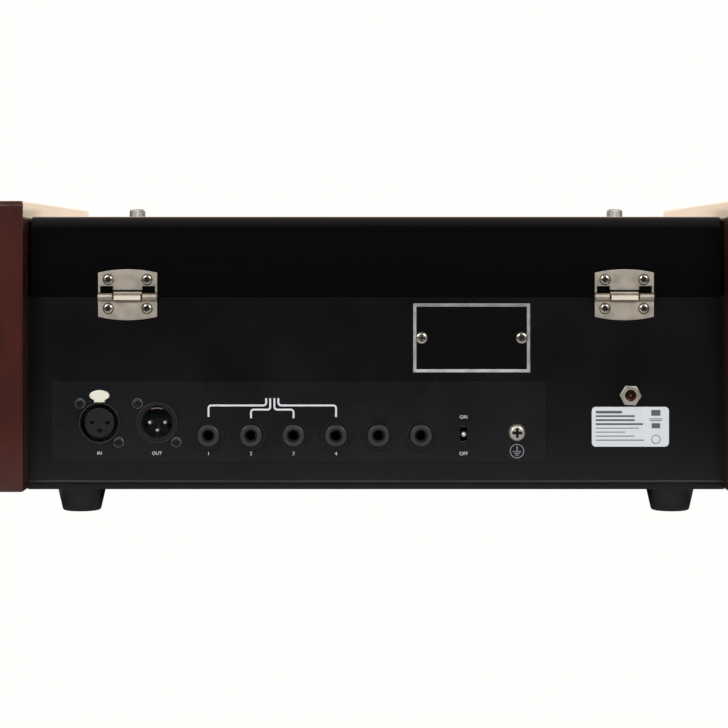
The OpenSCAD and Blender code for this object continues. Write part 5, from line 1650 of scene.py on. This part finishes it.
@dataclass
class RearPrint:
    """The print on the connection plate: numbers, plain words, bracket lines and the earth symbol.

    A bracket line has its start beside the middle, the level at which it crosses and its foot.
    """

    low_z: float = 35.7
    socket_z: float = 35.9
    high_z: float = 57.2
    letter_h: float = 2.15
    socket_letter_h: float = 2.0
    bold: float = 0.11
    line_w: float = 1.1
    line_top: float = 68.2
    bend_r: float = 1.6
    outer_line: Point3 = (3.6, 63.95, 57.2)
    inner_line: Point3 = (1.25, 61.5, 56.45)
    earth_z: float = 37.1
    earth_r: float = 4.2
    earth_line: float = 0.48

    def build(self, unit: Unit) -> None:
        """Prints everything on the front of the plate."""
        face_y = unit.room("io_plate").low.y
        jacks = [nut.centre.x for nut in unit.rooms("jack_nuts")[:4]]
        names = [(str(index + 1), x, self.low_z, self.letter_h) for index, x in enumerate(jacks)]
        for text, node in (("IN", "xlr_in_insert"), ("OUT", "xlr_out_pins")):
            names.append((text, unit.room(node).centre.x, self.socket_z, self.socket_letter_h))
        switch = unit.room("stop_lever").centre.x
        names += [("ON", switch, self.high_z, self.letter_h), ("OFF", switch, self.low_z, self.letter_h)]
        words = Shape()
        for text, x, z, height in names:
            words.with_shape(Shape.words(text, height).weighted(self.bold), Face.REAR.at(x, face_y, z))
        unit.add("plate_words", words, Finishes.white, "io_plate")
        lines = Shape()
        middle = (jacks[1] + jacks[2]) / 2
        for target, line in zip(jacks, (self.outer_line, self.inner_line, self.inner_line, self.outer_line)):
            lines.with_shape(self._bracket(middle, target, line), Face.REAR.at(0, face_y, 0))
        unit.add("plate_brackets", lines, Finishes.white, "io_plate")
        spot = Face.REAR.at(unit.room("earth_post").centre.x, face_y, self.earth_z)
        unit.add("earth_symbol", self._earth(), Finishes.grey, "io_plate", spot)

    def _bracket(self, middle: float, target: float, line: Point3) -> Shape:
        """Draws one line from above down to its level, across to a jack and down to it.

        Args:
            middle: X of the middle between the lines.
            target: X of the jack.
            line: Where the line starts beside the middle, its level and its foot.

        Returns:
            The line.
        """
        start, level, foot = line
        sign = 1 if target > middle else -1
        x = middle + sign * start
        stroke = Stroke(x, self.line_top, -90, self.line_w)
        stroke.ahead(self.line_top - level - self.bend_r).turn(90 * sign, self.bend_r)
        stroke.ahead(abs(target - x) - 2 * self.bend_r).turn(-90 * sign, self.bend_r)
        return stroke.ahead(level - self.bend_r - foot).raised(INK_MM)

    def _earth(self) -> Shape:
        """Draws the earth symbol: a ring around a stem and three bars."""
        ring = Sketch().circle(self.earth_r, steps=56).circle(self.earth_r - self.earth_line, steps=56)
        made = ring.raised(0, INK_MM)
        for width, height, y in ((0.55, 3.4, 1.4), (4.9, 0.55, -0.3), (3.2, 0.55, -1.4), (1.5, 0.55, -2.5)):
            made.with_shape(Shape.block((width, height, INK_MM), (0, y, INK_MM / 2)))
        return made


@dataclass
class NamePlate:
    """The blank gloss plate in its bright frame."""

    frame_w: float = 2.0
    frame_t: float = 0.32
    face_t: float = 0.13

    def build(self, unit: Unit) -> None:
        """Models the plate's back, its glossy face and the frame's four mitred bars."""
        room = unit.room("name_plate")
        width, height, thickness = room.size.x, room.size.z, room.size.y
        place = room.facing(Face.REAR, room.high.y)
        base = Sketch().rect(width, height, corner=0.4).raised(0, thickness - self.frame_t)
        unit.remake("name_plate_back", base, Finishes.frame, "name_plate", place)
        inner_w, inner_h = width - 2 * self.frame_w, height - 2 * self.frame_w
        low = thickness - self.frame_t - 0.01
        face = Sketch().rect(inner_w + 0.6, inner_h + 0.6).raised(low, low + self.face_t)
        unit.add("name_plate_face", face, Finishes.name_face, "name_plate", place)
        bars = Shape()
        for turn in range(4):
            long, short = (width, height) if turn % 2 == 0 else (height, width)
            bars.with_shape(self._bar(long, short), Matrix.Rotation(math.pi / 2 * turn, 4, "Z"))
        bars.moved(Matrix.Translation((0, 0, thickness)))
        unit.add("name_plate_frame", bars, Finishes.frame, "name_plate", place, smooth_angle=20)

    def _bar(self, length: float, other: float) -> Shape:
        """Makes one bar of the frame along its lower side, with mitred ends and a sloped inner edge."""
        outer, inner, foot = -other / 2, self.frame_w - other / 2, -self.frame_t
        section = [(outer, foot), (outer, -0.12), (outer + 0.25, 0.0), (inner - 0.4, -0.14)]
        section += [(inner, -0.24), (inner, foot)]
        bar = Sketch().outline(section).raised(-1, 1).lying()
        for vert in bar.bm.verts:
            vert.co.x *= length / 2 + outer - vert.co.y
        return bar


@dataclass
class RatingLabel:
    """The white label below the supply socket, with plain bars and blocks in the place of its print.

    A bar of text is (length, height); a block is (Y, (length, height)).
    """

    corner_r: float = 2.4
    text_left: float = -20.4
    text_top: float = 8.6
    line_pitch: float = 2.35
    text_lines: tuple[Point2, ...] = (
        (15.5, 1.5), (22.94, 1.1), (22.94, 1.1), (27.9, 1.1),
        (25.42, 0.5), (17.36, 0.5), (22.94, 0.5), (28.52, 0.6),
    )
    marks_x: float = 15.0
    marks: tuple[tuple[float, Point2], ...] = (
        (8.2, (5.4, 3.4)), (4.6, (8.0, 0.5)), (3.6, (7.0, 0.5)), (0.6, (5.0, 3.0))
    )
    seal_y: float = -7.4
    seal_r: float = 2.7
    seal_line: float = 0.45
    ink_t: float = 0.03

    def build(self, unit: Unit) -> None:
        """Models the sheet and prints its bars, blocks and seal."""
        room = unit.room("rating_label")
        top = room.size.y
        spot = room.facing(Face.REAR, room.high.y)
        sheet = Sketch().rect(room.size.x, room.size.z, corner=self.corner_r, steps=8).raised(0, top, 0.06)
        unit.remake("rating_label_sheet", sheet, Finishes.label, "rating_label", spot)
        print_z = top + 0.4 * self.ink_t
        rules = Shape()
        for index, (length, height) in enumerate(self.text_lines):
            middle = (self.text_left + length / 2, self.text_top - self.line_pitch * index, print_z)
            rules.with_shape(Shape.block((length, height, self.ink_t), middle))
        for y, (length, height) in self.marks:
            rules.with_shape(Shape.block((length, height, self.ink_t), (self.marks_x, y, print_z)))
        seal = Sketch().circle(self.seal_r, self.marks_x, self.seal_y, 40)
        seal.circle(self.seal_r - self.seal_line, self.marks_x, self.seal_y, 40)
        rules.with_shape(seal.raised(top, top + 0.02))
        unit.add("rating_label_rules", rules, Finishes.rule, "rating_label", spot)


# ---- front ----


@dataclass
class FrontControls:
    """The knobs with their caps, lines and printed scales, the power switch and the lamp."""

    knobs: tuple[str, ...] = (
        "input_knob", "bass_knob", "treble_knob", "reverb_knob", "echo_knob", "rate_knob", "feedback_knob"
    )
    cap_r: float = 7.4
    cap_t: float = 0.35
    sweep: float = 300.0
    ticks: int = 11
    scale_r: float = 14.2
    number_r: float = 17.4
    number_h: float = 2.2
    modes: int = 12
    mode_scale_r: float = 21.4
    mode_number_r: float = 25.5
    mode_number_h: float = 3.0
    word_h: float = 2.8
    word_y: float = 12.5

    def build(self, unit: Unit) -> None:
        """Dresses the controls and prints their scales."""
        panel = unit.room("front_panel").high.y
        unit.dress(Finishes.knob, *self.knobs, "mode_knob")
        cap = Sketch().circle(self.cap_r).raised(0, self.cap_t, 0.15)
        pointer = Sketch().rect(0.9, 6.4, 0, 4.4, corner=0.3).raised(0, 0.1)
        pointer.moved(Matrix.Translation((0, 0, self.cap_t - 0.05)))
        print_places = []
        for knob in self.knobs:
            room = unit.room(knob)
            top = room.facing(Face.FRONT, room.high.y)
            unit.add(f"{knob}_cap", Shape().with_shape(cap), Finishes.cap, knob, top)
            unit.add(f"{knob}_line", Shape().with_shape(pointer), Finishes.black, knob, top)
            print_places.append(room.facing(Face.FRONT, panel))
        numbers = [str(number) if number % 2 == 0 else "" for number in range(self.ticks)]
        scale = self._scale(numbers, self.scale_r, 0.45, self.number_r, self.number_h)
        unit.add("level_scales", scale.copies(print_places), Finishes.white, "front_panel")
        self._mode(unit, panel)
        self._power(unit, panel)

    def _scale(
        self, numbers: Sequence[str], tick_r: float, tick_w: float, number_r: float, height: float
    ) -> Shape:
        """Draws a ring of ticks and numbers, open below.

        Args:
            numbers: What stands at each tick, from left to right; an empty one leaves the tick bare.
            tick_r, tick_w: Radius of the ring, and width of a tick.
            number_r, height: Radius on which the numbers stand, and their height.

        Returns:
            The scale.
        """
        tick = Shape.block((tick_w, 1.8, INK_MM), (0, tick_r, INK_MM / 2))
        share = self.sweep / (len(numbers) - 1)
        turns = [self.sweep / 2 - share * index for index in range(len(numbers))]
        made = tick.copies([Matrix.Rotation(math.radians(turn), 4, "Z") for turn in turns])
        for text, turn in zip(numbers, turns):
            if text:
                angle = math.radians(90 + turn)
                spot = Matrix.Translation((number_r * math.cos(angle), number_r * math.sin(angle), 0))
                made.with_shape(Shape.words(text, height), spot)
        return made

    def _mode(self, unit: Unit, panel: float) -> None:
        """Adds the mode selector's line and its numbers."""
        room = unit.room("mode_knob")
        line = Sketch().rect(1.2, 9.0, 0, 13.2, corner=0.4).raised(0, 0.1)
        unit.add("mode_knob_line", line, Finishes.white, "mode_knob", room.facing(Face.FRONT, room.high.y))
        names = [str(number + 1) for number in range(self.modes)]
        numbers = self._scale(names, self.mode_scale_r, 0.5, self.mode_number_r, self.mode_number_h)
        unit.add("mode_numbers", numbers, Finishes.white, "front_panel", room.facing(Face.FRONT, panel))

    def _power(self, unit: Unit, panel: float) -> None:
        """Dresses switch, lamp and pots, and prints ON and OFF."""
        unit.eased("power_switch_body", Finishes.bright_nickel, 0.25)
        unit.dress(Finishes.chrome, "power_lever")
        unit.dress(Finishes.lamp, "pilot_lamp")
        unit.dress(Finishes.zinc, "control_pots")
        bezel = Shape.turned([(5.1, 0), (5.1, 2.2), (5.5, 2.6), (7.2, 1.4), (7.4, 0), (5.1, 0)], 48)
        at_lamp = unit.room("pilot_lamp").facing(Face.FRONT, panel)
        unit.add("lamp_bezel", bezel, Finishes.bright_nickel, "pilot_lamp", at_lamp)
        words = Shape.words("ON", self.word_h).moved(Matrix.Translation((0, self.word_y, 0)))
        words.with_shape(Shape.words("OFF", self.word_h), Matrix.Translation((0, -self.word_y, 0)))
        at_switch = unit.room("power_switch_body").facing(Face.FRONT, panel)
        unit.add("power_words", words, Finishes.white, "front_panel", at_switch)


@dataclass
class Meter:
    """The level meter: case, dial card with scale and red zone, needle and window.

    The scale's angles are in degrees from upright, to the right.
    """

    card_depth: float = 7.0
    card_t: float = 0.3
    pivot_drop: float = 13.0
    arc_r: float = 25.5
    start: float = -45
    red_start: float = 28
    stop: float = 46
    levels: tuple[tuple[float, str], ...] = (
        (-45, "20"), (-30, "10"), (-16, "7"), (-4, "5"), (8, "3"), (20, "1"), (28, "0"), (36, "1"), (45, "3")
    )
    ink_t: float = 0.04
    ink_z: float = 0.03

    def build(self, unit: Unit) -> None:
        """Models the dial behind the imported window."""
        unit.eased("meter_case", Finishes.meter, 0.4, 3)
        unit.dress(Finishes.needle, "meter_needle")
        unit.dress(Finishes.clear, "meter_window")
        window = unit.room("meter_window")
        place = window.facing(Face.FRONT, window.high.y - self.card_depth)
        card = Sketch().rect(window.size.x - 0.6, window.size.z - 0.6, corner=0.8).raised(-self.card_t, 0)
        unit.add("meter_card", card, Finishes.dial, "meter_case", place)
        scale, red = self._arc(self.start, self.red_start, 0.35), self._arc(self.red_start, self.stop, 1.1)
        for angle, text in self.levels:
            self._level(red if angle >= self.red_start else scale, angle, text)
        unit.add("meter_scale", scale, Finishes.black, "meter_case", place)
        unit.add("meter_red_zone", red, Finishes.red, "meter_case", place)

    def _at(self, angle: float) -> Matrix:
        """Gives the place at the needle's pivot, turned to an angle of the scale."""
        return Matrix.Translation((0, -self.pivot_drop, 0)) @ Matrix.Rotation(math.radians(-angle), 4, "Z")

    def _level(self, target: Shape, angle: float, text: str) -> None:
        """Prints one tick of the scale and its number."""
        tick = Shape.block((0.4, 2.4, self.ink_t), (0, self.arc_r + 1.2, self.ink_z))
        target.with_shape(tick, self._at(angle))
        number = Shape.words(text, 1.9, self.ink_t)
        target.with_shape(number, self._at(angle) @ Matrix.Translation((0, self.arc_r + 4.2, 0.01)))

    def _arc(self, low: float, high: float, width: float) -> Shape:
        """Prints the arc between two angles, in short straight pieces that overlap a little."""
        steps = int((high - low) / 3)
        share = (high - low) / steps
        length = math.radians(share) * self.arc_r * 1.05
        piece = Shape.block((length, width, self.ink_t), (0, self.arc_r, self.ink_z))
        return piece.copies([self._at(low + share * (step + 0.5)) for step in range(steps)])


# ---- tape deck, drive and electronics ----


@dataclass
class TapeDeck:
    """The tape path on the deck, with the drive and the circuit board below it."""

    gap_w: float = 0.25
    gap_h: float = 6.0
    lead_r: float = 0.6
    lead_x: float = 3.5
    lead_drift: float = 0.6
    bend: Point2 = (4.2, 3.4)
    bend_steps: int = 12
    drop: float = 7.5

    def build(self, unit: Unit) -> None:
        """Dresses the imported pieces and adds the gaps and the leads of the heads."""
        unit.eased("tape_tank", Finishes.tank, 0.4)
        unit.eased("tank_cover", Finishes.clear, 0.3)
        unit.dress(Finishes.tape, "tape_loop")
        unit.eased("tape_heads", Finishes.cap, 0.3)
        unit.eased("head_block", Finishes.aluminium, 0.4)
        unit.eased("tape_guides", Finishes.steel, 0.25, angle=40)
        unit.eased("pinch_arm", Finishes.steel, 0.25, angle=40)
        unit.dress(Finishes.belt, "pinch_roller", "drive_belt")
        unit.eased("capstan", Finishes.chrome, 0.3, angle=40)
        unit.dress(Finishes.brass, "capstan_bearing", "motor_pulley")
        unit.dress(Finishes.zinc, "motor_body")
        unit.dress(Finishes.board, "circuit_board")
        self._heads(unit)

    def _heads(self, unit: Unit) -> None:
        """Adds the dark gap line on each head's face, and two leads behind each head."""
        gaps, leads = Shape(), Shape()
        for head in unit.rooms("tape_heads"):
            middle = (head.centre.x, head.high.y - 0.02, head.high.z - 4.5)
            gaps.with_shape(Shape.block((self.gap_w, 0.1, self.gap_h), middle))
            for side in (-1, 1):
                start = Vector((head.centre.x + self.lead_x * side, head.low.y + 1.2, head.high.z - 1.0))
                leads.with_shape(self._lead(start, side))
        unit.add("head_gaps", gaps, Finishes.black, "tape_heads")
        unit.add("head_leads", leads, Finishes.lead, "tape_heads")

    def _lead(self, start: Vector, side: int) -> Shape:
        """Bends one lead up from a head, back and down into the deck.

        Args:
            start: Where it leaves the head.
            side: -1 for the left lead, 1 for the right one.

        Returns:
            The lead.
        """
        back, rise = self.bend
        across = Vector((1, 0, 0))
        around = [math.tau * step / 8 for step in range(8)]
        rings = []
        for step in range(self.bend_steps + 1):
            share = step / self.bend_steps
            turn = math.pi * share
            drift = self.lead_drift * side * share
            centre = start + Vector((drift, -back * (1 - math.cos(turn)), rise * math.sin(turn)))
            along = Vector((0, -back * math.sin(turn), rise * math.cos(turn))).normalized()
            up = across.cross(along)
            rings.append([centre + self.lead_r * (across * math.cos(t) + up * math.sin(t)) for t in around])
        rings.append([place - Vector((0, 0, self.drop)) for place in rings[-1]])
        return Shape.drawn(rings)


ASSEMBLIES = (
    Cheeks,
    Case,
    Lid,
    Hinges,
    Screws,
    Connections,
    RearPrint,
    NamePlate,
    RatingLabel,
    FrontControls,
    Meter,
    TapeDeck,
)


def main() -> None:
    """Builds the looks of the unit, sub-assembly by sub-assembly."""
    logging.basicConfig(level=logging.INFO, format="%(message)s")
    unit = Unit(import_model())
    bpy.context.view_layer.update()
    Studio().build()
    unit.dress(Finishes.zinc, *unit.nodes)
    for assembly in ASSEMBLIES:
        assembly().build(unit)


if __name__ == "__main__":
    main()
